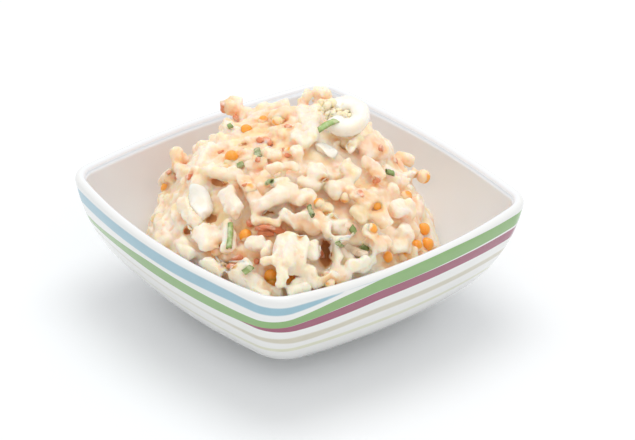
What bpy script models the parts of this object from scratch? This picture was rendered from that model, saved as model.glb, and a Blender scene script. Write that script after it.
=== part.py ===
# Seafood salad in its bowl: a square white bowl with soft corners, a heap of
# dressed shreds, lumps, roe and chives in it, and a thick squid ring on top.
# Metres, +Z up. The origin is under the middle of the bowl's foot, and the
# bowl's sides lie along X and Y.

import math
import random

import bmesh
import bpy
from mathutils import Matrix, Vector, noise
from mathutils.bvhtree import BVHTree

# Bowl, outside
BOWL_HALF = 0.080  # middle of a side, at the lip
RIM_HEIGHT = 0.058  # middle of a side; the corners rise a little more
CORNER_LIFT = 0.0015
LIP_THICKNESS = 0.0045
FLOOR_THICKNESS = 0.0060
SIDE_BULGE = (0.07, 0.105)  # bow of a side over its half width, foot and lip
CORNER_ROUND = (0.28, 0.19)  # corner radius over half width, foot and lip
# Half width and height along the outer wall, as one Bezier curve
WALL_CURVE = ((0.0375, 0.0050), (0.0540, 0.0062), (0.0748, 0.0225), (BOWL_HALF, 0.0557))
FOOT_WIDTH = 0.0040
FOOT_RECESS = 0.0022
FOOT_ROUND = 0.0007
SIDE_STEPS = 6
CORNER_STEPS = 5
WALL_STEPS = 8
LIP_STEPS = 5

# Heap, as a dome over the rim's plane that runs out to the front corner
CLEARANCE = 0.0004  # between the heap and the bowl or the ring
HEAP_RISE = 0.0305  # the bare core over the rim's plane
DOME_RADIUS = 0.058
DOME_POWER = 2.3
DOME_FRONT = 0.022  # added to the dome's radius towards the front corner
CORE_LIMIT = 0.0515  # where the core's side drops down into the bowl
CORE_LIMIT_FRONT = 0.042
CORE_LOPSIDED = 0.002  # further to the left, nearer to the right
CORE_EDGE_DROP = 0.006
# Below its edge the core spreads: how far out, and at what height
CORE_SKIRT = ((0.0075, 0.041), (0.0240, 0.014))
CORE_BUMP = 0.0026
CORE_BUMPS_PER_METRE = 42.0
CORE_SPOKES = 30
CORE_STEPS = 7

# Pieces of the salad
ROE_RADIUS = 0.0030
CHIVE_RADIUS = 0.0017
SHRED_LENGTH = (0.016, 0.032)
SHRED_WIDTH = (0.0048, 0.0085)
SHRED_THICKNESS = 0.62  # over the width
SHRED_CURL = (0.030, 0.080)  # radius it is bowed to
SHRED_LEAN = 0.07  # its middle lies off to the side, over the length, at most
SHRED_NARROWING = 0.40  # towards its ends
SHRED_UNEVEN = (0.85, 1.12)  # on its width
SHRED_TWIST = 0.35  # radians, at most
SHRED_CORNERS = 4
SHRED_STATIONS = 4
LUMP_LENGTH = (0.009, 0.014)
LUMP_BREADTH = 0.80  # over the length
LUMP_THICKNESS = 0.65
LUMP_UNEVEN = 0.28
LUMP_BUMPS = 2.4  # per length
CHIVE_LENGTH = (0.006, 0.011)
# Number of each kind, and how far its middle stands over the core
SCATTERED = (
    ("lump", 12, 0.0012),
    ("shred", 78, 0.0014),
    ("roe", 24, 0.0031),
    ("chive", 9, 0.0036),
)
LOWEST_PIECE = 0.041
TRIES = 14
SEED = 5
# Pieces that stand out: kind, across, away, heading, raised end, lift, size
STANDOUTS = (
    ("lump", -0.030, 0.018, 0, 0, 0.0045, (0.0125, 0.0110, 0.0120)),
    ("lump", -0.036, -0.042, 100, 0, 0.0020, (0.0165, 0.0120, 0.0095)),
    ("shred", -0.051, 0.002, 0, 24, 0.0040, (0.0160, 0.0080, 0.0065)),
    ("shred", -0.046, -0.008, 12, 0, 0.0025, (0.0240, 0.0070, 0.0060)),
    ("shred", -0.014, 0.012, 8, 4, 0.0022, (0.0270, 0.0065, 0.0050)),
    ("shred", 0.002, 0.006, 84, 14, 0.0040, (0.0230, 0.0075, 0.0060)),
    ("shred", 0.010, 0.018, 100, 18, 0.0042, (0.0200, 0.0065, 0.0055)),
    ("shred", 0.034, -0.043, -66, 0, 0.0020, (0.0250, 0.0075, 0.0055)),
    ("lump", 0.018, -0.025, 20, 0, 0.0015, (0.0150, 0.0120, 0.0070)),
    ("lump", 0.038, 0.005, 60, 0, 0.0015, (0.0145, 0.0115, 0.0090)),
    ("lump", 0.020, 0.003, 0, 0, 0.0018, (0.0230, 0.0210, 0.0110)),
)

# Squid ring
RING_RADIUS = 0.0064  # of the tube's centre line
RING_TUBE = 0.0041
RING_TAPER = 0.12  # the ends are thinner by this share
RING_GAP_ANGLE = math.radians(60)
RING_STEPS = 13
RING_PLACE = (0.0200, -0.0010, 0.0955)  # across, away, height
RING_LEAN = math.radians(20)  # towards the front corner

COLLECTION = "seafood_salad"
ACROSS = Vector((1.0, 1.0, 0.0)).normalized()  # left corner to right corner
AWAY = Vector((-1.0, 1.0, 0.0)).normalized()  # front corner to back corner


def clear_scene():
    """Empties the scene and gives the collection for the parts."""
    for old in list(bpy.data.objects):
        bpy.data.objects.remove(old, do_unlink=True)
    group = bpy.data.collections.new(COLLECTION)
    bpy.context.scene.collection.children.link(group)
    return group


def plain_material(name, colour, roughness):
    """A Principled material of one colour."""
    material = bpy.data.materials.new(name)
    material.use_nodes = True
    shader = material.node_tree.nodes["Principled BSDF"]
    shader.inputs["Base Color"].default_value = (*colour, 1.0)
    shader.inputs["Roughness"].default_value = roughness
    shader.inputs["Metallic"].default_value = 0.0
    return material


def blend(pair, share):
    """The value a share of the way from the pair's first to its second."""
    return pair[0] + (pair[1] - pair[0]) * share


def place(across, away, height):
    """A point given along the bowl's diagonals."""
    return ACROSS * across + AWAY * away + Vector((0.0, 0.0, height))


def loft(name, rings):
    """A closed body through rings with the same number of points."""
    bm = bmesh.new()
    rows = [[bm.verts.new(point) for point in ring] for ring in rings]
    for low, high in zip(rows, rows[1:]):
        for i, corner in enumerate(low):
            j = (i + 1) % len(low)
            bm.faces.new((corner, low[j], high[j], high[i]))
    bm.faces.new(list(reversed(rows[0])))
    bm.faces.new(rows[-1])
    return finish_mesh(name, bm)


def finish_mesh(name, bm):
    """Makes a mesh object of a bmesh, its faces pointing out."""
    bmesh.ops.recalc_face_normals(bm, faces=bm.faces)
    mesh = bpy.data.meshes.new(name)
    bm.to_mesh(mesh)
    bm.free()
    return bpy.data.objects.new(name, mesh)


# The bowl's form


def rounded_square(half, bulge, corner, inset):
    """Points round a square with bowed sides and round corners, moved in by inset."""
    reach = half - bulge
    side_radius = (reach**2 + bulge**2) / (2 * bulge)
    side_centre = half - side_radius
    # The corner arc's centre (middle, middle) lies where the two arcs touch.
    linear = -2 * side_centre
    constant = side_centre**2 - (side_radius - corner) ** 2
    middle = (-linear + math.sqrt(linear**2 - 8 * constant)) / 4
    turn = math.atan2(middle, middle - side_centre)
    quarter = []
    for i in range(SIDE_STEPS + 1):
        angle = -turn + 2 * turn * i / SIDE_STEPS
        radius = side_radius - inset
        quarter.append((side_centre + radius * math.cos(angle), radius * math.sin(angle)))
    for i in range(1, CORNER_STEPS):
        angle = turn + (math.pi / 2 - 2 * turn) * i / CORNER_STEPS
        radius = corner - inset
        quarter.append((middle + radius * math.cos(angle), middle + radius * math.sin(angle)))
    points = list(quarter)
    for _ in range(3):
        quarter = [(-y, x) for x, y in quarter]
        points += quarter
    return points


def bowl_ring(half, height, share, inset):
    """A section of the bowl; its corners rise with share, 0 at the foot, 1 at the lip."""
    outline = rounded_square(
        half, half * blend(SIDE_BULGE, share), half * blend(CORNER_ROUND, share), inset
    )
    reaches = [math.hypot(x, y) for x, y in outline]
    low = min(reaches)
    span = max(reaches) - low
    ring = []
    for (x, y), reach in zip(outline, reaches):
        lift = CORNER_LIFT * share * ((reach - low) / span) ** 1.5
        ring.append((x, y, height + lift))
    return ring


def wall_point(t):
    """Half width, height and the inward normal of the outer wall at t, 0 to 1."""
    p0, p1, p2, p3 = (Vector(p) for p in WALL_CURVE)
    s = 1 - t
    point = p0 * s**3 + p1 * 3 * s * s * t + p2 * 3 * s * t * t + p3 * t**3
    along = (p1 - p0) * 3 * s * s + (p2 - p1) * 6 * s * t + (p3 - p2) * 3 * t * t
    along.normalize()
    return point.x, point.y, along.y, along.x


def wall_ring(t, depth):
    """The section at t along the wall, depth below its outer face."""
    half, height, inwards, upwards = wall_point(t)
    return bowl_ring(half, height + depth * upwards, t, depth * inwards)


def wall_thickness(t):
    return blend((FLOOR_THICKNESS, LIP_THICKNESS), t)


def build_bowl():
    """The bowl as one body: foot, outer wall, round lip, inner wall and floor."""
    foot_half = WALL_CURVE[0][0]
    rings = []
    recess = (
        (FOOT_WIDTH + 2 * FOOT_ROUND, FOOT_RECESS),
        (FOOT_WIDTH, FOOT_ROUND),
        (FOOT_WIDTH - FOOT_ROUND, 0.0),
        (FOOT_ROUND, 0.0),
        (0.0, FOOT_ROUND),
    )
    for inset, height in recess:
        rings.append(bowl_ring(foot_half, height, 0.0, inset))
    for i in range(WALL_STEPS + 1):
        rings.append(wall_ring(i / WALL_STEPS, 0.0))
    half, height, _, _ = wall_point(1.0)
    for i in range(1, LIP_STEPS):
        angle = math.pi * i / LIP_STEPS
        inset = LIP_THICKNESS / 2 * (1 - math.cos(angle))
        rise = (RIM_HEIGHT - height) * math.sin(angle)
        rings.append(bowl_ring(half, height + rise, 1.0, inset))
    for i in range(WALL_STEPS, -1, -1):
        t = i / WALL_STEPS
        rings.append(wall_ring(t, wall_thickness(t)))
    return loft("bowl", rings)


def build_cavity():
    """The room inside the bowl and over it, clear of the bowl all round."""
    rings = []
    for i in range(WALL_STEPS + 1):
        t = i / WALL_STEPS
        rings.append(wall_ring(t, wall_thickness(t) + CLEARANCE))
    half, height, _, _ = wall_point(1.0)
    rings.append(bowl_ring(half, 3 * RIM_HEIGHT, 1.0, LIP_THICKNESS + CLEARANCE))
    return loft("cavity", rings)


# The heap's core


def heap_turn(x, y):
    """The direction of a point seen from above, 0 at the front corner, right positive."""
    across = Vector((x, y, 0.0)).dot(ACROSS)
    away = Vector((x, y, 0.0)).dot(AWAY)
    return math.atan2(across, -away)


def heap_height(x, y):
    """The core's top surface."""
    turn = heap_turn(x, y)
    front = (1 + math.cos(turn)) / 2
    radius = DOME_RADIUS + DOME_FRONT * front**6
    share = math.hypot(x, y) / radius
    bump = noise.noise(Vector((x, y, 0.0)) * CORE_BUMPS_PER_METRE) * CORE_BUMP * 2
    return RIM_HEIGHT + HEAP_RISE * (1 - share**DOME_POWER) + bump


def core_limit(turn):
    """How far out the core reaches in one direction."""
    front = (1 + math.cos(turn)) / 2
    return CORE_LIMIT + CORE_LIMIT_FRONT * front**3 - CORE_LOPSIDED * math.sin(turn)


def build_core(name):
    """The dome with steep sides, still uncut by the bowl."""
    rings = []
    for step in range(1, CORE_STEPS + 1):
        share = step / CORE_STEPS
        ring = []
        for spoke in range(CORE_SPOKES):
            angle = 2 * math.pi * spoke / CORE_SPOKES
            limit = core_limit(heap_turn(math.cos(angle), math.sin(angle)))
            x = limit * share * math.cos(angle)
            y = limit * share * math.sin(angle)
            edge = CORE_EDGE_DROP * share**8 if limit < BOWL_HALF else 0.0
            ring.append((x, y, heap_height(x, y) - edge))
        rings.append(ring)
    edge = rings[-1]
    for spread, height in CORE_SKIRT:
        ring = []
        for x, y, _ in edge:
            grow = 1 + spread / math.hypot(x, y)
            ring.append((x * grow, y * grow, height))
        rings.append(ring)
    rings.append([(x, y, WALL_CURVE[0][1]) for x, y, _ in rings[-1]])
    return loft(name, rings)


# The salad's pieces, each made about its own middle with X along it and Z up


def make_shred(name, rng, size):
    """A torn strip, thicker in the middle, bowed over the heap."""
    length, width, thickness = size
    bow = length**2 / 8 / rng.uniform(*SHRED_CURL)
    lean = rng.uniform(-SHRED_LEAN, SHRED_LEAN) * length
    rings = []
    for i in range(SHRED_STATIONS):
        s = i / (SHRED_STATIONS - 1) * 2 - 1
        plump = (1 - SHRED_NARROWING * s**4) * rng.uniform(*SHRED_UNEVEN)
        centre = Vector((s * length / 2, lean * s * s, -bow * s * s))
        start = math.pi / SHRED_CORNERS + rng.uniform(-SHRED_TWIST, SHRED_TWIST)
        ring = []
        for k in range(SHRED_CORNERS):
            angle = math.tau * k / SHRED_CORNERS + start
            side = math.cos(angle) * width * plump / math.sqrt(2)
            up = math.sin(angle) * thickness * plump / math.sqrt(2)
            ring.append(centre + Vector((0.0, side, up)))
        rings.append(ring)
    return loft(name, rings)


def make_lump(name, rng, size):
    """A rounded chunk with uneven faces."""
    bm = bmesh.new()
    bmesh.ops.create_icosphere(bm, subdivisions=2, radius=0.5)
    shift = Vector((rng.uniform(0, 9), rng.uniform(0, 9), rng.uniform(0, 9)))
    for vert in bm.verts:
        vert.co *= 1 + LUMP_UNEVEN * noise.noise(vert.co * LUMP_BUMPS + shift)
        vert.co = Vector([reach * full for reach, full in zip(vert.co, size)])
    return finish_mesh(name, bm)


def make_roe(name, radius):
    """One egg of roe."""
    bm = bmesh.new()
    bmesh.ops.create_uvsphere(bm, u_segments=6, v_segments=4, radius=radius)
    return finish_mesh(name, bm)


def make_chive(name, length):
    """A cut length of chive, lying along X."""
    bm = bmesh.new()
    bmesh.ops.create_cone(
        bm,
        cap_ends=True,
        segments=6,
        radius1=CHIVE_RADIUS,
        radius2=CHIVE_RADIUS,
        depth=length,
        matrix=Matrix.Rotation(math.pi / 2, 4, "Y"),
    )
    return finish_mesh(name, bm)


def make_piece(kind, name, rng):
    """A piece of one kind at a random size."""
    if kind == "lump":
        length = rng.uniform(*LUMP_LENGTH)
        size = (length, length * LUMP_BREADTH, length * LUMP_THICKNESS)
        return make_lump(name, rng, size)
    if kind == "shred":
        width = rng.uniform(*SHRED_WIDTH)
        size = (rng.uniform(*SHRED_LENGTH), width, width * SHRED_THICKNESS)
        return make_shred(name, rng, size)
    if kind == "roe":
        return make_roe(name, ROE_RADIUS * rng.uniform(0.85, 1.05))
    return make_chive(name, rng.uniform(*CHIVE_LENGTH))


def lay(piece, point, normal, heading, raised, lift):
    """Lays a piece on a surface, turned about the normal, with one end raised."""
    up = normal.normalized()
    flat = ACROSS - up * ACROSS.dot(up)
    flat.normalize()
    along = Matrix.Rotation(heading, 3, up) @ flat
    frame = Matrix((along, up.cross(along), up)).transposed().to_4x4()
    pitch = Matrix.Rotation(-raised, 4, "Y")
    piece.data.transform(Matrix.Translation(point + up * lift) @ frame @ pitch)


def surface_tree(thing):
    """A search tree over an object's faces."""
    vertices = [vert.co for vert in thing.data.vertices]
    return BVHTree.FromPolygons(vertices, [face.vertices for face in thing.data.polygons])


def open_faces(core, cavity):
    """The core's triangles that face the air, with their areas."""
    walls = surface_tree(cavity)
    core.data.calc_loop_triangles()
    found = []
    for triangle in core.data.loop_triangles:
        corners = [core.data.vertices[i].co for i in triangle.vertices]
        middle = sum(corners, Vector()) / 3
        distance = walls.find_nearest(middle)[3]
        if distance > 3 * CLEARANCE and middle.z > LOWEST_PIECE:
            found.append((triangle.area, corners, triangle.normal.copy()))
    return found


def random_spot(faces, areas, rng):
    """A random point on the faces, with the normal there."""
    _, corners, normal = rng.choices(faces, areas)[0]
    a, b = sorted((rng.random(), rng.random()))
    return corners[0] * a + corners[1] * (b - a) + corners[2] * (1 - b), normal


def scatter(faces, rng, count, taken):
    """Evenly spread points: each is the best of several tries, furthest from the taken."""
    areas = [area for area, _, _ in faces]
    taken = list(taken)
    picked = []
    for _ in range(count):
        tries = [random_spot(faces, areas, rng) for _ in range(TRIES)]
        best = max(tries, key=lambda spot: min((spot[0] - t).length for t in taken))
        taken.append(best[0])
        picked.append(best)
    return picked


def stand_out_pieces(core, rng):
    """The pieces that are placed one by one, and where each lies."""
    tree = surface_tree(core)
    pieces = []
    spots = []
    for i, (kind, across, away, heading, raised, lift, size) in enumerate(STANDOUTS):
        make = make_lump if kind == "lump" else make_shred
        piece = make(f"{kind}_placed_{i}", rng, size)
        above = place(across, away, 3 * RIM_HEIGHT)
        point, normal, _, _ = tree.ray_cast(above, Vector((0, 0, -1)))
        lay(piece, point, normal, math.radians(heading), math.radians(raised), lift)
        pieces.append(piece)
        spots.append(point)
    return pieces, spots


def cover_pieces(core, cavity):
    """All the pieces that lie on the core, as loose objects."""
    rng = random.Random(SEED)
    faces = open_faces(core, cavity)
    pieces, spots = stand_out_pieces(core, rng)
    for kind, count, lift in SCATTERED:
        for i, (point, normal) in enumerate(scatter(faces, rng, count, spots)):
            piece = make_piece(kind, f"{kind}_{i}", rng)
            lay(piece, point, normal, rng.uniform(0, math.tau), 0.0, lift)
            pieces.append(piece)
    return pieces


# Joining and cutting


def apply_boolean(thing, operation, solver, other=None, group=None):
    """Cuts or joins thing and keeps the result as its mesh."""
    step = thing.modifiers.new("boolean", "BOOLEAN")
    step.operation = operation
    step.solver = solver
    if group:
        step.operand_type = "COLLECTION"
        step.collection = group
    else:
        step.object = other
    bpy.context.view_layer.update()
    depsgraph = bpy.context.evaluated_depsgraph_get()
    mesh = bpy.data.meshes.new_from_object(thing.evaluated_get(depsgraph))
    thing.modifiers.clear()
    old = thing.data
    thing.data = mesh
    bpy.data.meshes.remove(old)


def keep_largest_body(thing):
    """Drops scraps that hang on nothing and the shells of sealed hollows."""
    bm = bmesh.new()
    bm.from_mesh(thing.data)
    bmesh.ops.triangulate(bm, faces=bm.faces)
    unseen = set(bm.faces)
    bodies = []
    while unseen:
        front = [unseen.pop()]
        body = set(front)
        while front:
            for edge in front.pop().edges:
                if len(edge.link_faces) != 2:
                    continue
                for face in edge.link_faces:
                    if face in unseen:
                        unseen.discard(face)
                        body.add(face)
                        front.append(face)
        bodies.append(body)
    bodies.sort(key=len)
    for scrap in bodies[:-1]:
        bmesh.ops.delete(bm, geom=list(scrap), context="FACES")
    bm.to_mesh(thing.data)
    bm.free()


def build_heap(group, cavity, ring_room):
    """The core with its pieces fused on, cut clear of the bowl and the squid ring."""
    guide = build_core("guide")
    group.objects.link(guide)
    apply_boolean(guide, "INTERSECT", "EXACT", other=cavity)
    loose = bpy.data.collections.new("loose_pieces")
    bpy.context.scene.collection.children.link(loose)
    for piece in cover_pieces(guide, cavity):
        loose.objects.link(piece)
    bpy.data.objects.remove(guide, do_unlink=True)
    core = build_core("salad")
    group.objects.link(core)
    apply_boolean(core, "UNION", "MANIFOLD", group=loose)
    for piece in list(loose.objects):
        bpy.data.objects.remove(piece, do_unlink=True)
    bpy.data.collections.remove(loose)
    apply_boolean(core, "INTERSECT", "MANIFOLD", other=cavity)
    apply_boolean(core, "DIFFERENCE", "MANIFOLD", other=ring_room)
    keep_largest_body(core)
    return core


# The squid ring


def build_ring(name, tube):
    """A thick open ring, leaning on the heap, its gap to the left."""
    curve = bpy.data.curves.new(name, "CURVE")
    curve.dimensions = "3D"
    curve.bevel_depth = tube
    curve.bevel_resolution = 2
    curve.use_fill_caps = True
    spline = curve.splines.new("POLY")
    spline.points.add(RING_STEPS - 1)
    for i, point in enumerate(spline.points):
        share = i / (RING_STEPS - 1)
        angle = math.pi + RING_GAP_ANGLE / 2 + (math.tau - RING_GAP_ANGLE) * share
        point.co = (RING_RADIUS * math.cos(angle), RING_RADIUS * math.sin(angle), 0, 1)
        point.radius = 1 - RING_TAPER * (1 - math.sin(math.pi * share))
    guide = bpy.data.objects.new(name + "_curve", curve)
    bpy.context.scene.collection.objects.link(guide)
    bpy.context.view_layer.update()
    depsgraph = bpy.context.evaluated_depsgraph_get()
    mesh = bpy.data.meshes.new_from_object(guide.evaluated_get(depsgraph))
    bpy.data.objects.remove(guide, do_unlink=True)
    bm = bmesh.new()
    bm.from_mesh(mesh)
    bpy.data.meshes.remove(mesh)
    bmesh.ops.remove_doubles(bm, verts=bm.verts, dist=0.00001)
    ring = finish_mesh(name, bm)
    turn = Matrix.Rotation(math.atan2(ACROSS.y, ACROSS.x), 4, "Z")
    lean = Matrix.Rotation(RING_LEAN, 4, "X")
    ring.data.transform(Matrix.Translation(place(*RING_PLACE)) @ turn @ lean)
    return ring


def smooth(thing, sharp_angle):
    thing.data.shade_smooth()
    thing.data.set_sharp_from_angle(angle=math.radians(sharp_angle))


def main():
    group = clear_scene()
    helpers = bpy.data.collections.new("cutters")
    bpy.context.scene.collection.children.link(helpers)

    glaze = plain_material("white_glaze", (0.86, 0.85, 0.84), 0.12)
    dressed = plain_material("dressed_salad", (0.83, 0.68, 0.47), 0.35)
    squid = plain_material("squid", (0.86, 0.80, 0.68), 0.30)

    bowl = build_bowl()
    bowl.data.materials.append(glaze)
    group.objects.link(bowl)
    smooth(bowl, 40)

    ring = build_ring("squid_ring", RING_TUBE)
    ring.data.materials.append(squid)
    group.objects.link(ring)
    smooth(ring, 50)

    cavity = build_cavity()
    ring_room = build_ring("ring_room", RING_TUBE + CLEARANCE)
    for cutter in (cavity, ring_room):
        helpers.objects.link(cutter)
        cutter.hide_render = True
        cutter.display_type = "WIRE"

    salad = build_heap(group, cavity, ring_room)
    salad.data.materials.clear()
    salad.data.materials.append(dressed)
    for thing in (cavity, ring_room):
        bpy.data.objects.remove(thing, do_unlink=True)


main()
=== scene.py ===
# Looks of the seafood salad in its square bowl: the glazed bowl with its painted
# stripes, the dressed mass of shreds and lumps, and the roe, chives, crab, egg
# white and squid that show in it. Metres, +Z up, in the frame of the solids.

import math
import random
from itertools import accumulate

import bmesh
import bpy
import numpy as np
from mathutils import Matrix, Vector, noise
from mathutils.bvhtree import BVHTree
from mathutils.kdtree import KDTree


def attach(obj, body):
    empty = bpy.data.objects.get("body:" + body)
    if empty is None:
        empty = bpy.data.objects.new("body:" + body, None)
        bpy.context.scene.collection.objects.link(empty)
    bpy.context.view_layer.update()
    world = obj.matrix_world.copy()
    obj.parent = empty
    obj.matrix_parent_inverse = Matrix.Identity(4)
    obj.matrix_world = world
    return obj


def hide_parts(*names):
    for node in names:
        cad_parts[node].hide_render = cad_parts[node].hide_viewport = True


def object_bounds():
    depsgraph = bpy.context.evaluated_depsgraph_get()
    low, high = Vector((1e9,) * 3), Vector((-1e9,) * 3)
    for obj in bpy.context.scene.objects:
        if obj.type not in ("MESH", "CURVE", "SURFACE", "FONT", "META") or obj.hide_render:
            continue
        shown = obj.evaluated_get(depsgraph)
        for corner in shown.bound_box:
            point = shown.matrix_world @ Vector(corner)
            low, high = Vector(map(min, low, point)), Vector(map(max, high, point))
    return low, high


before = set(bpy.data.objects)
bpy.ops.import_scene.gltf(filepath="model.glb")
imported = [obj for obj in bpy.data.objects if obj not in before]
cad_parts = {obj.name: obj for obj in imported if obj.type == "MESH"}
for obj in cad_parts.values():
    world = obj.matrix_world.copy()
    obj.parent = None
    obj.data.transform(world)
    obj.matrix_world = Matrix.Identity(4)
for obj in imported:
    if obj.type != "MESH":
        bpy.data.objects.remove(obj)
CAD_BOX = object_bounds()

MM = 0.001
UP = Vector((0.0, 0.0, 1.0))
ACROSS = Vector((1.0, 1.0, 0.0)).normalized()  # left corner to right corner
AWAY = Vector((-1.0, 1.0, 0.0)).normalized()  # front corner to back corner

# The photograph's view, as found from the bowl's rim
IMAGE_WIDTH = 635
IMAGE_HEIGHT = 440
VIEW_TURN = math.radians(50.85)
VIEW_RISE = math.radians(29.15)
VIEW_ROLL = math.radians(0.65)
VIEW_DISTANCE = 1.725
FOCAL_PIXELS = 3950.0
RIM_CENTRE_PIXEL = (298.6, 188.2)
SENSOR_WIDTH = 36.0

# Bowl, as the solids have it, in finer steps
BOWL_HALF = 0.080
RIM_HEIGHT = 0.058
CORNER_LIFT = 0.0015
LIP_THICKNESS = 0.0045
FLOOR_THICKNESS = 0.0060
SIDE_BULGE = (0.07, 0.105)
CORNER_ROUND = (0.28, 0.19)
WALL_CURVE = ((0.0375, 0.0050), (0.0540, 0.0062), (0.0748, 0.0225), (BOWL_HALF, 0.0557))
FOOT_WIDTH = 0.0040
FOOT_RECESS = 0.0022
FOOT_ROUND = 0.0007
SIDE_STEPS = 30
CORNER_STEPS = 18
WALL_STEPS = 84
LIP_STEPS = 14

# Painted stripes: azimuth in degrees from the front corner, right positive, then
# the height of the stripe's upper and lower edge in mm
STRIPES = {
    "blue": (
        (-180, 55.4, 52.0), (-150, 55.4, 49.6), (-90, 55.2, 48.8), (-60, 55.4, 49.0),
        (-36, 55.6, 49.1), (-20, 56.2, 50.3), (-12, 56.1, 50.9), (-4, 55.2, 50.6),
        (4, 54.9, 50.9), (9, 55.2, 52.0), (14, 55.5, 53.7), (20, 55.8, 55.8), (145, 55.6, 55.6),
    ),
    "green": (
        (-165, 47.0, 42.0), (-135, 45.5, 40.5), (-105, 43.5, 39.6), (-80, 43.0, 39.6),
        (-66, 45.0, 40.5), (-50, 46.6, 40.2), (-20, 46.5, 40.6), (-8, 46.2, 41.3),
        (0, 46.9, 43.0), (6, 48.1, 44.3), (12, 50.4, 45.3), (18, 52.6, 47.0),
        (25, 54.2, 48.1), (31, 55.8, 49.3), (45, 56.5, 49.6), (60, 56.8, 50.0),
        (80, 56.4, 50.0), (135, 56.0, 49.6), (165, 53.5, 47.5),
    ),
    "plum": (
        (-12, 41.2, 41.2), (-4, 42.5, 40.9), (4, 43.8, 40.5), (9, 44.7, 40.2),
        (16, 46.3, 41.5), (25, 48.0, 42.8), (32, 49.2, 44.1), (47, 49.5, 44.4),
        (64, 49.4, 44.4), (80, 49.0, 43.7), (135, 48.2, 43.6), (165, 45.5, 42.4),
        (180, 42.8, 42.8),
    ),
    "sand": (
        (-135, 36.2, 35.0), (-90, 36.6, 35.6), (-50, 35.9, 34.9), (-22, 35.9, 34.8),
        (-8, 35.9, 33.6), (0, 36.0, 32.9), (9, 36.2, 31.6), (16, 36.5, 33.2),
        (25, 38.2, 34.8), (33, 39.0, 35.5), (90, 38.4, 35.4), (135, 38.5, 35.2), (180, 36.6, 33.6),
    ),
    "straw": (
        (-135, 28.8, 27.6), (-90, 29.0, 28.2), (-50, 29.0, 27.8), (-20, 28.4, 27.0),
        (0, 28.1, 25.6), (10, 28.5, 25.9), (27, 29.4, 26.9), (90, 29.6, 27.8), (180, 28.6, 26.2),
    ),
}
STRIPE_COLOURS = {
    "blue": (0.32, 0.52, 0.61),
    "green": (0.26, 0.45, 0.17),
    "plum": (0.34, 0.095, 0.155),
    "sand": (0.66, 0.62, 0.50),
    "straw": (0.74, 0.74, 0.56),
}
STRIPE_SMOOTHING = 2.5  # degrees
STRIPE_SOFTNESS = {"blue": 0.45, "green": 0.15, "plum": 0.15, "sand": 0.70, "straw": 0.55}  # mm

# Heap: the core under the pieces, a little inside the solid's core
CLEARANCE = 0.0005
HEAP_SINK = 0.0022
HEAP_RISE = 0.0305
DOME_RADIUS = 0.058
DOME_POWER = 2.3
DOME_FRONT = 0.022
CORE_LIMIT = 0.0515
CORE_LIMIT_FRONT = 0.042
CORE_LOPSIDED = 0.002
CORE_EDGE_DROP = 0.006
CORE_SKIRT = ((0.0075, 0.041), (0.0240, 0.014))
CORE_BUMP = 0.0026
CORE_BUMPS_PER_METRE = 42.0
CORE_SPOKES = 120
CORE_STEPS = 40

VOXEL = 0.00072
MOST_TRIANGLES = 190000
SPECK = 40 * MM**3


# The view


def camera_turn():
    """The camera's rotation, so that the rim's centre falls on its pixel."""
    back = Vector(
        (
            math.sin(VIEW_TURN) * math.cos(VIEW_RISE),
            -math.cos(VIEW_TURN) * math.cos(VIEW_RISE),
            math.sin(VIEW_RISE),
        )
    )
    right = Vector((math.cos(VIEW_TURN), math.sin(VIEW_TURN), 0.0))
    level = Matrix((right, back.cross(right), back)).transposed()
    centre = pixel_direction(*RIM_CENTRE_PIXEL)
    aim = centre.rotation_difference(Vector((0.0, 0.0, -1.0))).to_matrix()
    return back, level @ Matrix.Rotation(VIEW_ROLL, 3, "Z") @ aim


def pixel_direction(u, v):
    """The direction of a pixel of the photograph, seen from the camera."""
    side = (u - IMAGE_WIDTH / 2) / FOCAL_PIXELS
    rise = (IMAGE_HEIGHT / 2 - v) / FOCAL_PIXELS
    return Vector((side, rise, -1.0)).normalized()


VIEW_BACK, VIEW_MATRIX = camera_turn()
EYE = VIEW_BACK * VIEW_DISTANCE + UP * RIM_HEIGHT


def pixel_ray(u, v):
    """The direction of a pixel of the photograph in the world."""
    return VIEW_MATRIX @ pixel_direction(u, v)


def build_camera():
    """The camera at the photograph's angle."""
    data = bpy.data.cameras.new("camera")
    data.sensor_width = SENSOR_WIDTH
    data.lens = FOCAL_PIXELS / IMAGE_WIDTH * SENSOR_WIDTH
    data.clip_start = 0.05
    camera = bpy.data.objects.new("camera", data)
    camera.matrix_world = Matrix.Translation(EYE) @ VIEW_MATRIX.to_4x4()
    bpy.context.scene.collection.objects.link(camera)
    bpy.context.scene.camera = camera


# Meshes


class Batch:
    """Closed shapes gathered into one mesh, each with a tone."""

    def __init__(self):
        self.points = []
        self.faces = []
        self.tones = []
        self.count = 0

    def add(self, points, faces, tone=0.0):
        """Adds one shape."""
        shift = self.count
        self.points.append(np.asarray(points, float).reshape(-1, 3))
        self.faces.extend([tuple(i + shift for i in face) for face in faces])
        self.tones.append(np.full(len(points), tone))
        self.count += len(points)

    def build(self, name, **values):
        """The smooth object with all shapes, and numbers for each vertex by name."""
        thing = new_object(name, self.all_points().tolist(), self.faces)
        for key, rows in values.items():
            write_value(thing.data, key, np.concatenate(rows))
        thing.data.shade_smooth()
        return thing

    def all_points(self):
        """All vertices in one array."""
        return np.vstack(self.points)


def new_object(name, points, faces):
    """An object with a new mesh, linked to the scene."""
    mesh = bpy.data.meshes.new(name)
    mesh.from_pydata(points, [], faces)
    mesh.update()
    thing = bpy.data.objects.new(name, mesh)
    bpy.context.scene.collection.objects.link(thing)
    return thing


def read_points(mesh):
    """A mesh's vertices as an array."""
    points = np.empty(len(mesh.vertices) * 3)
    mesh.vertices.foreach_get("co", points)
    return points.reshape(-1, 3)


def write_points(mesh, points):
    """Moves a mesh's vertices."""
    mesh.vertices.foreach_set("co", np.asarray(points, float).ravel())
    mesh.update()


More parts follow.
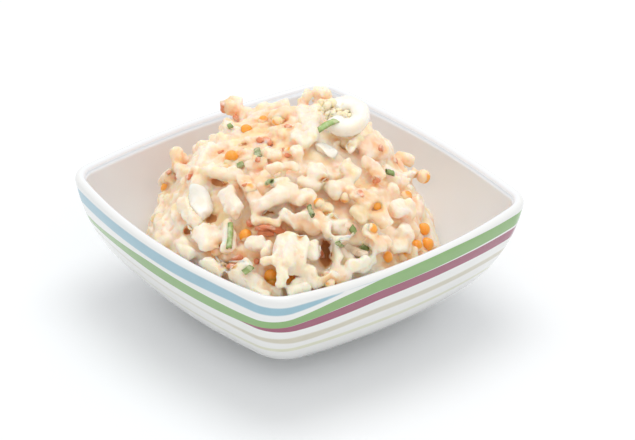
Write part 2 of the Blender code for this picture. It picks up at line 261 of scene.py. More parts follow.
def read_normals(mesh):
    """The normal at each vertex."""
    normals = np.empty(len(mesh.vertices) * 3, np.float32)
    mesh.vertex_normals.foreach_get("vector", normals)
    return normals.reshape(-1, 3).astype(float)


def read_edges(mesh):
    """The two vertices of each edge."""
    edges = np.empty(len(mesh.edges) * 2, np.int64)
    mesh.edges.foreach_get("vertices", edges)
    return edges.reshape(-1, 2)


def write_value(mesh, name, values):
    """Stores one number for each vertex."""
    attribute = mesh.attributes.new(name, "FLOAT", "POINT")
    attribute.data.foreach_set("value", np.asarray(values, np.float32))


def read_value(mesh, name):
    """The numbers stored for each vertex."""
    values = np.empty(len(mesh.vertices), np.float32)
    mesh.attributes[name].data.foreach_get("value", values)
    return values.astype(float)


def write_colour(mesh, name, colours):
    """Stores one colour for each vertex."""
    attribute = mesh.attributes.new(name, "FLOAT_COLOR", "POINT")
    full = np.ones((len(colours), 4), np.float32)
    full[:, :3] = colours
    attribute.data.foreach_set("color", full.ravel())


def averaged(values, edges, rounds, strength=0.5):
    """Values moved towards those of their neighbours, round by round."""
    count = len(values)
    first, second = edges[:, 0], edges[:, 1]
    degree = np.maximum(np.bincount(edges.ravel(), minlength=count), 1)
    values = values.copy()
    for _ in range(rounds):
        mean = np.empty_like(values)
        for k in range(values.shape[1]):
            total = np.bincount(first, values[second, k], count)
            total += np.bincount(second, values[first, k], count)
            mean[:, k] = total / degree
        values += (mean - values) * strength
    return values


def smoothstep(low, high, values):
    """From 0 at low to 1 at high, eased at both ends."""
    share = np.clip((values - low) / (high - low), 0.0, 1.0)
    return share * share * (3 - 2 * share)


def noise_at(points, per_metre, shift=0.0):
    """Smooth noise from -1 to 1 at each point."""
    offset = Vector((shift, shift * 1.7, -shift))
    return np.array([noise.noise(Vector(p) * per_metre + offset) for p in points])


def add_relief(mesh, waves):
    """Moves the surface by noise; waves are cells a metre, shift and height in mm."""
    points = read_points(mesh)
    relief = sum(noise_at(points, pace, shift) * high for pace, shift, high in waves)
    write_points(mesh, points + read_normals(mesh) * (relief * MM)[:, None])


def tree_of(thing):
    """A search tree over an object's faces."""
    mesh = thing.data
    return BVHTree.FromPolygons(
        [vert.co for vert in mesh.vertices], [face.vertices for face in mesh.polygons]
    )


def evaluated_mesh(thing):
    """The mesh with its modifiers applied."""
    bpy.context.view_layer.update()
    depsgraph = bpy.context.evaluated_depsgraph_get()
    mesh = bpy.data.meshes.new_from_object(thing.evaluated_get(depsgraph))
    old = thing.data
    thing.modifiers.clear()
    thing.data = mesh
    bpy.data.meshes.remove(old)
    return mesh


# The bowl


def blend(pair, share):
    """Between the two numbers of a pair."""
    return pair[0] + (pair[1] - pair[0]) * share


def rounded_square(half, bulge, corner, inset):
    """Points round a square with bowed sides and round corners, moved in by inset."""
    reach = half - bulge
    side_radius = (reach**2 + bulge**2) / (2 * bulge)
    side_centre = half - side_radius
    linear = -2 * side_centre
    constant = side_centre**2 - (side_radius - corner) ** 2
    middle = (-linear + math.sqrt(linear**2 - 8 * constant)) / 4
    turn = math.atan2(middle, middle - side_centre)
    quarter = []
    for i in range(SIDE_STEPS + 1):
        angle = -turn + 2 * turn * i / SIDE_STEPS
        radius = side_radius - inset
        quarter.append((side_centre + radius * math.cos(angle), radius * math.sin(angle)))
    for i in range(1, CORNER_STEPS):
        angle = turn + (math.pi / 2 - 2 * turn) * i / CORNER_STEPS
        radius = corner - inset
        quarter.append((middle + radius * math.cos(angle), middle + radius * math.sin(angle)))
    points = list(quarter)
    for _ in range(3):
        quarter = [(-y, x) for x, y in quarter]
        points += quarter
    return points


def bowl_ring(half, height, share, inset):
    """A section of the bowl; its corners rise with share, 0 at the foot, 1 at the lip."""
    outline = rounded_square(
        half, half * blend(SIDE_BULGE, share), half * blend(CORNER_ROUND, share), inset
    )
    reaches = [math.hypot(x, y) for x, y in outline]
    low = min(reaches)
    span = max(reaches) - low
    ring = []
    for (x, y), reach in zip(outline, reaches):
        lift = CORNER_LIFT * share * ((reach - low) / span) ** 1.5
        ring.append((x, y, height + lift))
    return ring


def wall_point(t):
    """Half width, height and the inward normal of the outer wall at t, 0 to 1."""
    p0, p1, p2, p3 = (Vector(p) for p in WALL_CURVE)
    s = 1 - t
    point = p0 * s**3 + p1 * 3 * s * s * t + p2 * 3 * s * t * t + p3 * t**3
    along = (p1 - p0) * 3 * s * s + (p2 - p1) * 6 * s * t + (p3 - p2) * 3 * t * t
    along.normalize()
    return point.x, point.y, along.y, along.x


def wall_ring(t, depth):
    """The section at t along the wall, depth below its outer face."""
    half, height, inwards, upwards = wall_point(t)
    return bowl_ring(half, height + depth * upwards, t, depth * inwards)


def wall_thickness(t):
    """From the floor's thickness to the lip's."""
    return blend((FLOOR_THICKNESS, LIP_THICKNESS), t)


def loft_faces(rings, sides):
    """Quads between rings of points, with both ends closed by a face."""
    faces = [tuple(reversed(range(sides)))]
    for ring in range(rings - 1):
        low = ring * sides
        for i in range(sides):
            j = (i + 1) % sides
            faces.append((low + i, low + j, low + sides + j, low + sides + i))
    last = (rings - 1) * sides
    faces.append(tuple(range(last, last + sides)))
    return faces


def stripe_edges(name):
    """The stripe's upper and lower edge for every degree round the bowl, in metres."""
    rows = np.array(STRIPES[name], float)
    degrees = np.arange(360.0) - 180
    edges = []
    apart = (np.arange(360) + 180) % 360 - 180
    spread = np.exp(-0.5 * (apart / STRIPE_SMOOTHING) ** 2)
    spread /= spread.sum()
    for column in (1, 2):
        heights = np.interp(degrees, rows[:, 0], rows[:, column], period=360)
        heights = np.fft.ifft(np.fft.fft(heights) * np.fft.fft(spread)).real
        edges.append(heights * MM)
    return degrees, edges


def paint_stripes(mesh, outside):
    """Stores how far each vertex lies inside every stripe, in mm."""
    points = read_points(mesh)
    azimuth = np.degrees(np.arctan2(points @ np.array(ACROSS), points @ -np.array(AWAY)))
    for name in STRIPES:
        degrees, (top, bottom) = stripe_edges(name)
        high = np.interp(azimuth, degrees, top, period=360)
        low = np.interp(azimuth, degrees, bottom, period=360)
        inside = np.minimum(high - points[:, 2], points[:, 2] - low) / MM
        write_value(mesh, name, np.where(outside, inside, -1.0))


def build_bowl():
    """The bowl as one body: foot, outer wall, round lip, inner wall and floor."""
    foot_half = WALL_CURVE[0][0]
    profile = (
        (FOOT_WIDTH + 2 * FOOT_ROUND, FOOT_RECESS),
        (FOOT_WIDTH, FOOT_RECESS * 0.6),
        (FOOT_WIDTH, FOOT_ROUND),
        (FOOT_WIDTH - FOOT_ROUND * 0.3, FOOT_ROUND * 0.3),
        (FOOT_WIDTH - FOOT_ROUND, 0.0),
        (FOOT_ROUND, 0.0),
        (FOOT_ROUND * 0.3, FOOT_ROUND * 0.3),
        (0.0, FOOT_ROUND),
    )
    rings = [bowl_ring(foot_half, height, 0.0, inset) for inset, height in profile]
    rings += [wall_ring(i / WALL_STEPS, 0.0) for i in range(WALL_STEPS + 1)]
    half, height, _, _ = wall_point(1.0)
    outside_rings = len(rings)
    for i in range(1, LIP_STEPS):
        angle = math.pi * i / LIP_STEPS
        inset = LIP_THICKNESS / 2 * (1 - math.cos(angle))
        rise = (RIM_HEIGHT - height) * math.sin(angle)
        rings.append(bowl_ring(half, height + rise, 1.0, inset))
        if angle < math.pi / 2:
            outside_rings += 1
    for i in range(WALL_STEPS, -1, -2):
        t = i / WALL_STEPS
        rings.append(wall_ring(t, wall_thickness(t)))
    sides = len(rings[0])
    points = [point for ring in rings for point in ring]
    bowl = new_object("glazed_bowl", points, loft_faces(len(rings), sides))
    outside = np.arange(len(points)) < outside_rings * sides
    paint_stripes(bowl.data, outside)
    write_value(bowl.data, "inside", ~outside)
    bowl.data.shade_smooth()
    return bowl


def build_cavity():
    """The room inside the bowl and over it, clear of the bowl all round."""
    rings = []
    for i in range(0, WALL_STEPS + 1, 3):
        t = i / WALL_STEPS
        rings.append(wall_ring(t, wall_thickness(t) + CLEARANCE))
    half = wall_point(1.0)[0]
    for top in (RIM_HEIGHT, 3 * RIM_HEIGHT):
        rings.append(bowl_ring(half, top, 1.0, LIP_THICKNESS + CLEARANCE))
    sides = len(rings[0])
    points = [point for ring in rings for point in ring]
    return BVHTree.FromPolygons(points, loft_faces(len(rings), sides))


# The heap's core


def heap_turn(x, y):
    """The direction of a point seen from above, 0 at the front corner, right positive."""
    return math.atan2(x * ACROSS.x + y * ACROSS.y, -(x * AWAY.x + y * AWAY.y))


def heap_height(x, y):
    """The core's top surface."""
    front = (1 + math.cos(heap_turn(x, y))) / 2
    radius = DOME_RADIUS + DOME_FRONT * front**6
    share = math.hypot(x, y) / radius
    bump = noise.noise(Vector((x, y, 0.0)) * CORE_BUMPS_PER_METRE) * CORE_BUMP * 2
    return RIM_HEIGHT + HEAP_RISE * (1 - share**DOME_POWER) + bump - HEAP_SINK


def core_limit(turn):
    """How far out the core reaches in one direction."""
    front = (1 + math.cos(turn)) / 2
    limit = CORE_LIMIT + CORE_LIMIT_FRONT * front**3 - CORE_LOPSIDED * math.sin(turn)
    return limit - HEAP_SINK


def build_core():
    """The dome with its steep sides, closed below."""
    sides = CORE_SPOKES
    rings = []
    for step in range(1, CORE_STEPS + 1):
        share = step / CORE_STEPS
        ring = []
        for spoke in range(sides):
            angle = math.tau * spoke / sides
            limit = core_limit(heap_turn(math.cos(angle), math.sin(angle)))
            x = limit * share * math.cos(angle)
            y = limit * share * math.sin(angle)
            edge = CORE_EDGE_DROP * share**8
            ring.append((x, y, heap_height(x, y) - edge))
        rings.append(ring)
    edge = rings[-1]
    skirt = ((0.0, None),) + CORE_SKIRT
    for (low_spread, low), (spread, height) in zip(skirt, skirt[1:]):
        for part in (0.25, 0.5, 0.75, 1.0):
            ring = []
            for x, y, z in edge:
                reach = low_spread + (spread - low_spread) * part
                grow = 1 + reach / math.hypot(x, y)
                start = z if low is None else low
                ring.append((x * grow, y * grow, start + (height - start) * part))
            rings.append(ring)
    rings.append([(x * 0.97, y * 0.97, WALL_CURVE[0][1]) for x, y, _ in rings[-1]])
    points = [point for ring in rings for point in ring]
    return points, loft_faces(len(rings), sides)


# Shapes of the pieces


def spline(knots, count):
    """Evenly counted points on a smooth curve through the knots."""
    knots = np.asarray(knots, float)
    if len(knots) == 2:
        share = np.linspace(0, 1, count)[:, None]
        return knots[0] * (1 - share) + knots[1] * share
    before = 2 * knots[0] - knots[1]
    after = 2 * knots[-1] - knots[-2]
    full = np.vstack((before, knots, after))
    made = []
    for place in np.linspace(0, len(knots) - 1, count):
        i = min(int(place), len(knots) - 2)
        t = place - i
        a, b, c, d = full[i : i + 4]
        made.append(
            b
            + 0.5 * t * (c - a + t * (2 * a - 5 * b + 4 * c - d + t * (3 * (b - c) + d - a)))
        )
    return np.array(made)


CUT_DEPTH = (0.50, 0.90)  # how far out the flat faces of a chopped piece lie, 1 at its side


def tube(path, ups, width, thickness, rng, sides=12, uneven=0.12, step=0.0011, torn=0.3):
    """A torn strip along a path, its flat side facing ups, with fibres along it."""
    length = float(np.linalg.norm(np.diff(path, axis=0), axis=1).sum())
    count = max(7, int(length / step) | 1)
    line = spline(path, count)
    rise = spline(ups, count)
    along = np.gradient(line, axis=0)
    along /= np.linalg.norm(along, axis=1)[:, None]
    side = np.cross(rise, along)
    side /= np.linalg.norm(side, axis=1)[:, None]
    rise = np.cross(along, side)
    place = np.linspace(-1, 1, count)
    end = min(0.9, rng.uniform(0.5, 1.0) * width / length)
    ease = np.clip((1 - abs(place)) / end, 0, 1)
    blunt = rng.uniform(2.0, 3.6)
    plump = np.clip(1 - (1 - ease) ** blunt, 0.0, 1.0) ** (1 / blunt)
    waves = [(rng.uniform(1.5, 4.5), rng.uniform(0, math.tau)) for _ in range(2)]
    for pace, start in waves:
        plump *= 1 + uneven * 0.4 * np.sin(place * pace + start)
    angles = np.arange(sides) * math.tau / sides
    boxy = rng.uniform(2.2, 3.8)
    c, s = np.abs(np.cos(angles)), np.abs(np.sin(angles))
    corner = (c**boxy + s**boxy) ** (-1 / boxy)
    lobes = [(k, rng.uniform(0, math.tau), rng.uniform(-2, 2)) for k in (2, 3, 5)]
    cuts = [(rng.uniform(0, math.tau), rng.uniform(*CUT_DEPTH)) for _ in range(3)]
    tears = [(k, rng.uniform(0, math.tau)) for k in (1, 2, 3)]
    tear = sum(np.sin(k * angles + start) / k for k, start in tears) * torn * width / 2
    points = []
    for i in range(1, count - 1):
        radius = corner.copy()
        for k, start, twist in lobes:
            radius += uneven * 0.6 * np.sin(k * angles + start + twist * place[i])
        flat, tall = np.cos(angles) * radius, np.sin(angles) * radius
        for start, reach in cuts:
            way = start + 0.5 * place[i]
            past = np.maximum(0.0, flat * math.cos(way) + tall * math.sin(way) - reach)
            flat, tall = flat - past * math.cos(way), tall - past * math.sin(way)
        across = (flat * width / 2 * plump[i])[:, None]
        over = (tall * thickness / 2 * plump[i])[:, None]
        shift = (tear * abs(place[i]) ** 3)[:, None] * along[i]
        points.append(line[i] + side[i] * across + rise[i] * over + shift)
    points = np.vstack(points)
    rings = count - 2
    faces = loft_faces(rings, sides)[1:-1]
    first, last = len(points), len(points) + 1
    points = np.vstack((points, line[0], line[-1]))
    for i in range(sides):
        j = (i + 1) % sides
        faces.append((first, j, i))
        faces.append((last, (rings - 1) * sides + i, (rings - 1) * sides + j))
    return points, faces


def ball_template(subdivisions):
    """Points and faces of a unit sphere made of triangles."""
    bm = bmesh.new()
    bmesh.ops.create_icosphere(bm, subdivisions=subdivisions, radius=1.0)
    points = np.array([vert.co for vert in bm.verts])
    faces = [tuple(vert.index for vert in face.verts) for face in bm.faces]
    bm.free()
    return points, faces


SMALL_BALL = ball_template(2)
FINE_BALL = ball_template(3)
SMOOTH_BALL = ball_template(4)


def lump(centre, axes, sizes, rng, ball, uneven=0.16):
    """A rounded chunk; axes are its three directions and sizes its full measures."""
    points, faces = ball
    swell = np.ones(len(points))
    for _ in range(4):
        way = np.array([rng.gauss(0, 1) for _ in range(3)])
        swell += uneven * 0.5 * np.sin(points @ way * rng.uniform(1.2, 2.2) + rng.uniform(0, 6))
    shaped = points * swell[:, None] * (np.array(sizes) / 2)
    return np.asarray(centre) + shaped @ np.array([list(axis) for axis in axes]), faces


def random_axes(rng, up=None):
    """Three directions at right angles, the last one along up where it is given."""
    if up is None:
        up = Vector([rng.gauss(0, 1) for _ in range(3)])
    up = Vector(up).normalized()
    flat = up.orthogonal().normalized()
    flat.rotate(Matrix.Rotation(rng.uniform(0, math.tau), 3, up))
    return flat, up.cross(flat), up


# Places on the heap


def under_pixel(tree, u, v, lift):
    """The point seen at a pixel, lift over the surface there, and its normal."""
    way = pixel_ray(u, v)
    point, normal, _, _ = tree.ray_cast(EYE, way)
    if point is None:
        nearest = None
        for step in range(160):
            probe = EYE + way * (VIEW_DISTANCE + (step - 80) * MM)
            found, facing, _, distance = tree.find_nearest(probe)
            if nearest is None or distance < nearest[3]:
                nearest = (probe, found, facing, distance)
        probe, found, facing, distance = nearest
        return probe, facing
    slope = max(0.40, -way.dot(normal))
    return point - way * (lift / slope), normal


def placed_path(tree, pixels, lift, share=1.0):
    """A path over the surface through pixels; lift is one number or one for each pixel."""
    lifts = lift if isinstance(lift, tuple) else (lift,) * len(pixels)
    found = [under_pixel(tree, u, v, h * share * MM) for (u, v), h in zip(pixels, lifts)]
    return np.array([p for p, _ in found]), np.array([n for _, n in found])


def walk(tree, point, normal, heading, length, steps=6):
    """Points and normals along the surface, both ways from a point."""
    stride = length / steps
    made = [(point, normal)]
    for way in (1, -1):
        here, facing = point, normal
        ahead = heading * way
        leg = []
        for _ in range(steps // 2):
            found, turned, _, _ = tree.find_nearest(here + ahead * stride)
            ahead = (found - here) - turned * (found - here).dot(turned)
            if ahead.length < 1e-9:
                break
            ahead.normalize()
            here, facing = found, turned
            leg.append((here, facing))
        made = made + leg if way == 1 else list(reversed(leg)) + made
    return made


class Sampler:
    """Draws random points on the open part of a surface."""

    def __init__(self, points, faces, keep):
        self.faces = []
        areas = []
        for face in faces:
            for k in range(1, len(face) - 1):
                corners = [Vector(points[i]) for i in (face[0], face[k], face[k + 1])]
                normal = (corners[1] - corners[0]).cross(corners[2] - corners[0])
                if normal.length > 0 and keep(sum(corners, Vector()) / 3, normal.normalized()):
                    self.faces.append((corners, normal.normalized()))
                    areas.append(normal.length / 2)
        self.sums = list(accumulate(areas))

    def draw(self, rng):
        """A point and the normal there."""
        corners, normal = rng.choices(self.faces, cum_weights=self.sums)[0]
        a, b = sorted((rng.random(), rng.random()))
        return corners[0] * a + corners[1] * (b - a) + corners[2] * (1 - b), normal

    def spread(self, rng, count, tries=8):
        """Evenly spread points."""
        taken = []
        for _ in range(count):
            spots = [self.draw(rng) for _ in range(tries)]
            if taken:
                spots.sort(key=lambda s: min((s[0] - t[0]).length_squared for t in taken))
            taken.append(spots[-1])
        return taken


# The salad's pieces as the photograph shows them. Each row: the pixels its middle
# passes, width and thickness in mm, height of its middle over the core in mm, tone.
# Tones: 0 white, 1 cream, 2 yellow, 3 pink.
PLACED_STRIPS = (
    (((224, 107), (233, 106), (243, 108)), 9.0, 7.0, 3.2, 0),
    (((241, 110), (252, 112)), 4.5, 4.0, 2.5, 1),
    (((251, 114), (268, 108), (289, 105)), 3.8, 3.4, 3.5, 1),
    (((268, 118), (283, 113), (297, 110)), 4.2, 3.6, 3.0, 1),
    (((226, 123), (232, 133)), 6.6, 5.0, 2.5, 0),
    (((308, 93), (303, 108), (306, 126)), 5.0, 4.2, (5.5, 5.0, 3.5), 0),
    (((322, 87), (318, 104), (314, 122), (313, 140)), 5.2, 4.4, (6.0, 5.5, 4.5, 3.0), 0),
    (((319, 93), (330, 98)), 5.4, 4.6, 4.5, 1),
    (((176, 147), (178, 156), (182, 167)), 5.6, 5.0, (7.0, 5.5, 3.0), 1),
    (((174, 166), (186, 174), (206, 172), (222, 176)), 4.6, 4.0, 3.2, 2),
    (((212, 144), (205, 154), (200, 167)), 5.0, 3.8, (4.5, 4.5, 3.0), 0),
    (((160, 186), (168, 180), (176, 176)), 6.6, 5.5, 2.6, 0),
    (((193, 180), (206, 186)), 6.4, 5.0, 1.2, 2),
    (((207, 167), (222, 175), (238, 178)), 4.6, 4.0, 3.6, 1),
    (((231, 170), (243, 180), (250, 193)), 4.8, 4.0, 3.8, 0),
    (((268, 171), (285, 167), (301, 170)), 4.2, 3.6, 3.8, 3),
    (((275, 131), (290, 135)), 6.2, 5.0, 2.2, 2),
    (((257, 206), (275, 195), (296, 187)), 8.2, 6.0, 3.8, 1),
    (((270, 184), (282, 181), (291, 182)), 4.0, 3.6, 2.5, 0),
    (((183, 199), (188, 212), (197, 226)), 7.0, 5.5, 3.4, 1),
    (((163, 196), (160, 208), (156, 218)), 6.4, 5.0, 2.0, 1),
    (((167, 222), (162, 234), (165, 246)), 9.0, 6.0, 2.4, 1),
    (((198, 228), (206, 238), (213, 250)), 8.6, 6.0, 3.0, 0),
    (((181, 240), (187, 250), (194, 258)), 7.0, 5.5, 2.4, 0),
    (((224, 190), (229, 201), (240, 214)), 7.2, 5.8, 4.2, 0),
    (((249, 190), (256, 201), (262, 213)), 6.2, 5.0, 3.2, 3),
    (((250, 223), (266, 222), (281, 225)), 4.2, 3.8, 3.0, 1),
    (((286, 234), (279, 246), (275, 262)), 5.2, 5.0, 5.4, 0),
    (((294, 233), (291, 248), (287, 266)), 5.4, 5.0, 5.8, 0),
    (((302, 237), (304, 250), (300, 267)), 5.4, 5.0, 5.4, 0),
    (((246, 240), (256, 243), (266, 241)), 6.0, 5.0, 2.6, 0),
    (((228, 220), (229, 236), (228, 253)), 5.2, 4.2, 2.8, 0),
    (((233, 284), (238, 271), (253, 264)), 7.6, 6.0, 4.2, 1),
    (((259, 263), (273, 261), (282, 272), (281, 290)), 4.4, 4.2, 5.2, 1),
    (((244, 286), (254, 281), (262, 289)), 7.0, 5.6, 3.2, 2),
    (((284, 269), (300, 269), (319, 275)), 4.6, 4.2, 4.0, 3),
    (((291, 283), (299, 286), (307, 292)), 6.6, 5.4, 3.0, 0),
    (((220, 263), (230, 270), (236, 279)), 3.6, 3.2, 2.6, 3),
    (((347, 151), (353, 143), (361, 138)), 4.2, 3.8, 4.0, 1),
    (((340, 164), (350, 172), (359, 179)), 8.4, 6.2, 4.6, 0),
    (((306, 168), (316, 172), (327, 177)), 7.0, 5.4, 3.8, 0),
    (((293, 204), (303, 196), (317, 196)), 6.4, 5.2, 3.8, 3),
    (((327, 190), (340, 187), (354, 187)), 9.0, 6.4, 3.8, 1),
    (((352, 192), (369, 206), (389, 227)), 6.6, 5.2, 4.4, 1),
    (((360, 152), (373, 146), (389, 149)), 9.6, 7.0, 3.4, 3),
    (((361, 160), (373, 166), (382, 181)), 5.0, 4.4, 4.6, 3),
    (((396, 156), (406, 158), (415, 163)), 6.2, 5.2, 2.6, 1),
    (((383, 168), (396, 176), (405, 187)), 6.0, 5.0, 3.0, 0),
    (((396, 181), (406, 176), (417, 172)), 3.8, 3.4, 3.8, 0),
    (((386, 187), (397, 190)), 6.0, 5.0, 2.4, 1),
    (((339, 217), (328, 222), (327, 234), (338, 240), (351, 236)), 3.2, 3.4, 4.2, 1),
    (((332, 224), (343, 229)), 6.2, 4.8, 2.4, 0),
    (((300, 211), (311, 221), (322, 231)), 9.0, 6.2, 3.4, 1),
    (((279, 212), (291, 218), (302, 227)), 6.0, 5.0, 3.0, 1),
    (((362, 230), (372, 238), (386, 250)), 5.0, 4.6, 4.6, 0),
    (((345, 262), (356, 266), (369, 257)), 5.2, 4.4, 3.2, 1),
    (((332, 263), (341, 271), (353, 271)), 5.2, 4.6, 2.6, 0),
    (((331, 243), (335, 254), (337, 264)), 4.8, 4.4, 2.8, 1),
    (((312, 240), (314, 251), (312, 262)), 5.0, 4.6, 4.0, 0),
    (((393, 213), (402, 208), (413, 214)), 8.0, 6.0, 3.0, 0),
    (((398, 226), (406, 232), (413, 240)), 6.6, 5.2, 2.8, 0),
    (((372, 252), (381, 246), (389, 240)), 5.4, 4.6, 3.0, 1),
    (((322, 277), (336, 275), (350, 269)), 4.6, 4.0, 2.4, 2),
    (((356, 271), (366, 265), (376, 257)), 5.2, 4.4, 2.4, 1),
    (((392, 251), (401, 246), (411, 250)), 5.4, 4.6, 2.2, 1),
    (((415, 196), (419, 206), (420, 217)), 5.4, 4.6, 2.4, 3),
    (((404, 190), (411, 197)), 5.0, 4.4, 2.2, 1),
    (((293, 147), (299, 158)), 5.4, 4.6, 2.6, 1),
    (((243, 165), (256, 163), (266, 160)), 4.8, 4.2, 2.6, 0),
    (((264, 151), (272, 155), (281, 152)), 5.0, 4.2, 2.6, 1),
    (((296, 178), (310, 183), (322, 183)), 6.0, 4.6, 3.0, 1),
    (((268, 240), (268, 250), (263, 258)), 4.6, 4.0, 3.4, 1),
    (((307, 268), (312, 278), (322, 286)), 5.0, 4.4, 3.4, 1),
    (((340, 276), (346, 281), (333, 288)), 4.8, 4.2, 2.4, 1),
    (((262, 288), (272, 293), (284, 294)), 5.2, 4.6, 2.6, 2),
    (((203, 262), (212, 268), (222, 276)), 5.4, 4.6, 2.6, 0),
    (((205, 226), (216, 233), (221, 242)), 5.0, 4.2, 2.6, 3),
    (((313, 206), (325, 208), (334, 212)), 4.6, 4.0, 3.6, 2),
    (((351, 206), (360, 214), (366, 224)), 4.6, 4.0, 3.4, 2),
    (((296, 128), (300, 138), (309, 146)), 4.6, 4.2, 2.6, 1),
    (((226, 280), (236, 286), (246, 291)), 5.4, 4.6, 4.4, 0),
    (((250, 290), (260, 294), (272, 296)), 5.4, 4.6, 4.4, 1),
    (((286, 293), (298, 291), (311, 287)), 5.4, 4.6, 4.4, 0),
    (((318, 284), (329, 281), (342, 277)), 5.0, 4.2, 4.0, 1),
    (((196, 262), (206, 269), (216, 275)), 5.0, 4.2, 4.0, 1),
)
# Deep gaps between pieces, pushed in and given painted shade: pixel, reach across and up in
# pixels, depth in mm
GAPS = (
    ((326, 254), 6, 12, 6.5), ((213, 219), 7, 5, 3.5), ((189, 231), 5, 5, 4.0),
    ((229, 266), 7, 4, 4.0), ((376, 208), 6, 4, 3.0), ((323, 179), 5, 3, 3.0),
    ((300, 237), 4, 4, 2.5), ((244, 145), 5, 3, 3.0), ((271, 146), 3, 3, 2.5),
    ((219, 182), 8, 5, 3.0), ((345, 146), 8, 4, 3.0), ((268, 213), 7, 3, 2.5),
    ((371, 230), 5, 3, 2.5), ((333, 218), 5, 3, 2.5), ((352, 249), 9, 5, 2.5),
)
GAP_SOFTNESS = 1.6
GAP_FACING = 0.35
GAP_DEPTH = 4 * MM  # under the rim
# Painted light on the heap's lower front: the rows between which its colour turns paler towards
# its bottom and its painted shade fades
FRONT_LIGHT_ROWS = (225.0, 268.0)
PAINTED_FRONT_LIGHT = 0.85
FRONT_LIGHT_COLOUR = (0.97, 0.85, 0.67)
FRONT_LIGHT_TINT = 0.7
# The heap's sides where the bowl's inner wall shows beside them: row and column pixels
LEFT_EDGE = ((168, 172), (181, 157), (192, 157), (203, 161), (221, 150), (236, 154), (260, 158))
RIGHT_EDGE = (
    (130, 374), (140, 393), (152, 408), (160, 418), (173, 430), (197, 428), (213, 431),
    (232, 433), (245, 436), (262, 436),
)
SIDE_GIVE = 0.35  # the share of what stands out that may stay
# Dressing that fills the valleys between pieces
FILL_ROUNDS = 34
FILL_SHARE = 0.58
SOFTENING = 0.4
LAST_SOFTENING = 0.3
BROAD_SMOOTHING = 0.6
# Relief of the dressing: cells a metre, shift of the noise, height in mm
CREASES = ((130.0, 0.0, 1.1), (300.0, 3.0, 0.65))
GRAIN = (640.0, 7.0, 0.22)
RELIEF_SINK = 0.35
# Painted shade in the hollows, partly the orange sauce that pools there: rounds of smoothing,
# depths in mm from which to which it counts, its weight
BROAD_HOLLOW_SHADE = (60, 0.4, 2.4, 0.38)
FINE_HOLLOW_SHADE = (14, 0.10, 0.7, 0.44)
# How deep a pressed gap is, in mm, from no painted shade to full painted shade
PRESSED_GAP_SHADE = (0.5, 4.5)  # mm
# Painted highlight on the ridges: how far a point stands over its smoothed neighbours, in mm, from
# none to full
RIDGE_HIGHLIGHT = (0.05, 0.6)  # mm
TONE_BLUR = 3
# Nothing this far over the rim reaches the bowl, nor this near its middle and this high
ABOVE_BOWL = 0.05
MIDDLE = 0.02
# Tones of the dressed pieces, and how often each is drawn
TONE_COLOURS = (
    (0.92, 0.80, 0.68),
    (0.91, 0.74, 0.55),
    (0.92, 0.72, 0.42),
    (0.91, 0.62, 0.45),
)
TONE_WEIGHTS = (4, 6, 4, 1.5)
# Random strips: number, length, width, height over the core in mm, thickness over the
# width, and the share of the height that is left among the placed strips
UNDER_STRIPS = (300, (8, 22), (3.5, 8.0), (0.4, 2.4), (0.6, 0.85), 0.60)
OVER_STRIPS = (180, (7, 18), (3.0, 6.5), (1.8, 4.0), (0.65, 0.9), None)
STRIP_TILT = 1.2  # of the height, mm at each end
STRIP_BOW = 1.3
PLACED_SHARE = 0.92  # of the height in the table
PLACED_GROW = 1.12
STEM_WIDTH = 0.65
STEM_LENGTH = 1.25
# Torn shreds: number, length, width, height in mm. Crumbs: number, size in mm
SHREDS = (820, (3, 10), (1.4, 3.4), (-0.5, 0.7))
CRUMBS = (700, (1.2, 2.8))
SHOWN_SHARE = 0.62  # of the shreds and crumbs, stays among the placed strips
SHOWN_FACING = 0.30
SHOWN_DEPTH = 6 * MM  # under the rim
TOUCHING = 0.2 * MM
LOWEST_PIECE = 0.036
AIR_GAP = 3 * MM
SEED = 11


def open_air(cavity):
    """A test of whether a place on the core has air over it."""

    def keep(middle, _):
        """Whether a triangle's middle is in the open."""
        distance = cavity.find_nearest(middle)[3]
        return middle.z > LOWEST_PIECE and (distance > AIR_GAP or middle.z > RIM_HEIGHT)

    return keep


def seen_in_photo(point, normal):
    """Whether the photograph shows a place of the heap from its front."""
    return normal.dot(VIEW_BACK) > SHOWN_FACING and point.z > RIM_HEIGHT - SHOWN_DEPTH


def add_walk(batch, tree, spot, rng, sizes, lift, tone):
    """A random strip that bends with the surface under it."""
    point, normal = spot
    length, width, thickness = sizes
    heading = random_axes(rng, normal)[0]
    stations = walk(tree, point, normal, heading, length)
    tilt = rng.uniform(-STRIP_TILT, STRIP_TILT)
    path = []
    ups = []
    for i, (place, facing) in enumerate(stations):
        s = 2 * i / (len(stations) - 1) - 1
        height = lift + tilt * s - STRIP_BOW * s**2
        path.append(place + facing * (height * MM))
        ups.append(facing)
    shape = tube(np.array(path), np.array(ups), width * MM, thickness * MM, rng)
    batch.add(*shape, tone)


def random_tone(rng):
    """The number of a tone, some more often than others."""
    return rng.choices(range(len(TONE_WEIGHTS)), TONE_WEIGHTS)[0]


def add_stem(batch, tree, middle, width, rng, tone):
    """A lump under a strip that joins it to the core."""
    found, _, _, distance = tree.find_nearest(middle)
    shape, faces = lump(
        (middle + found) / 2,
        random_axes(rng, middle - found),
        (width * STEM_WIDTH, width * STEM_WIDTH, distance * STEM_LENGTH),
        rng,
        SMALL_BALL,
    )
    batch.add(shape, faces, tone)


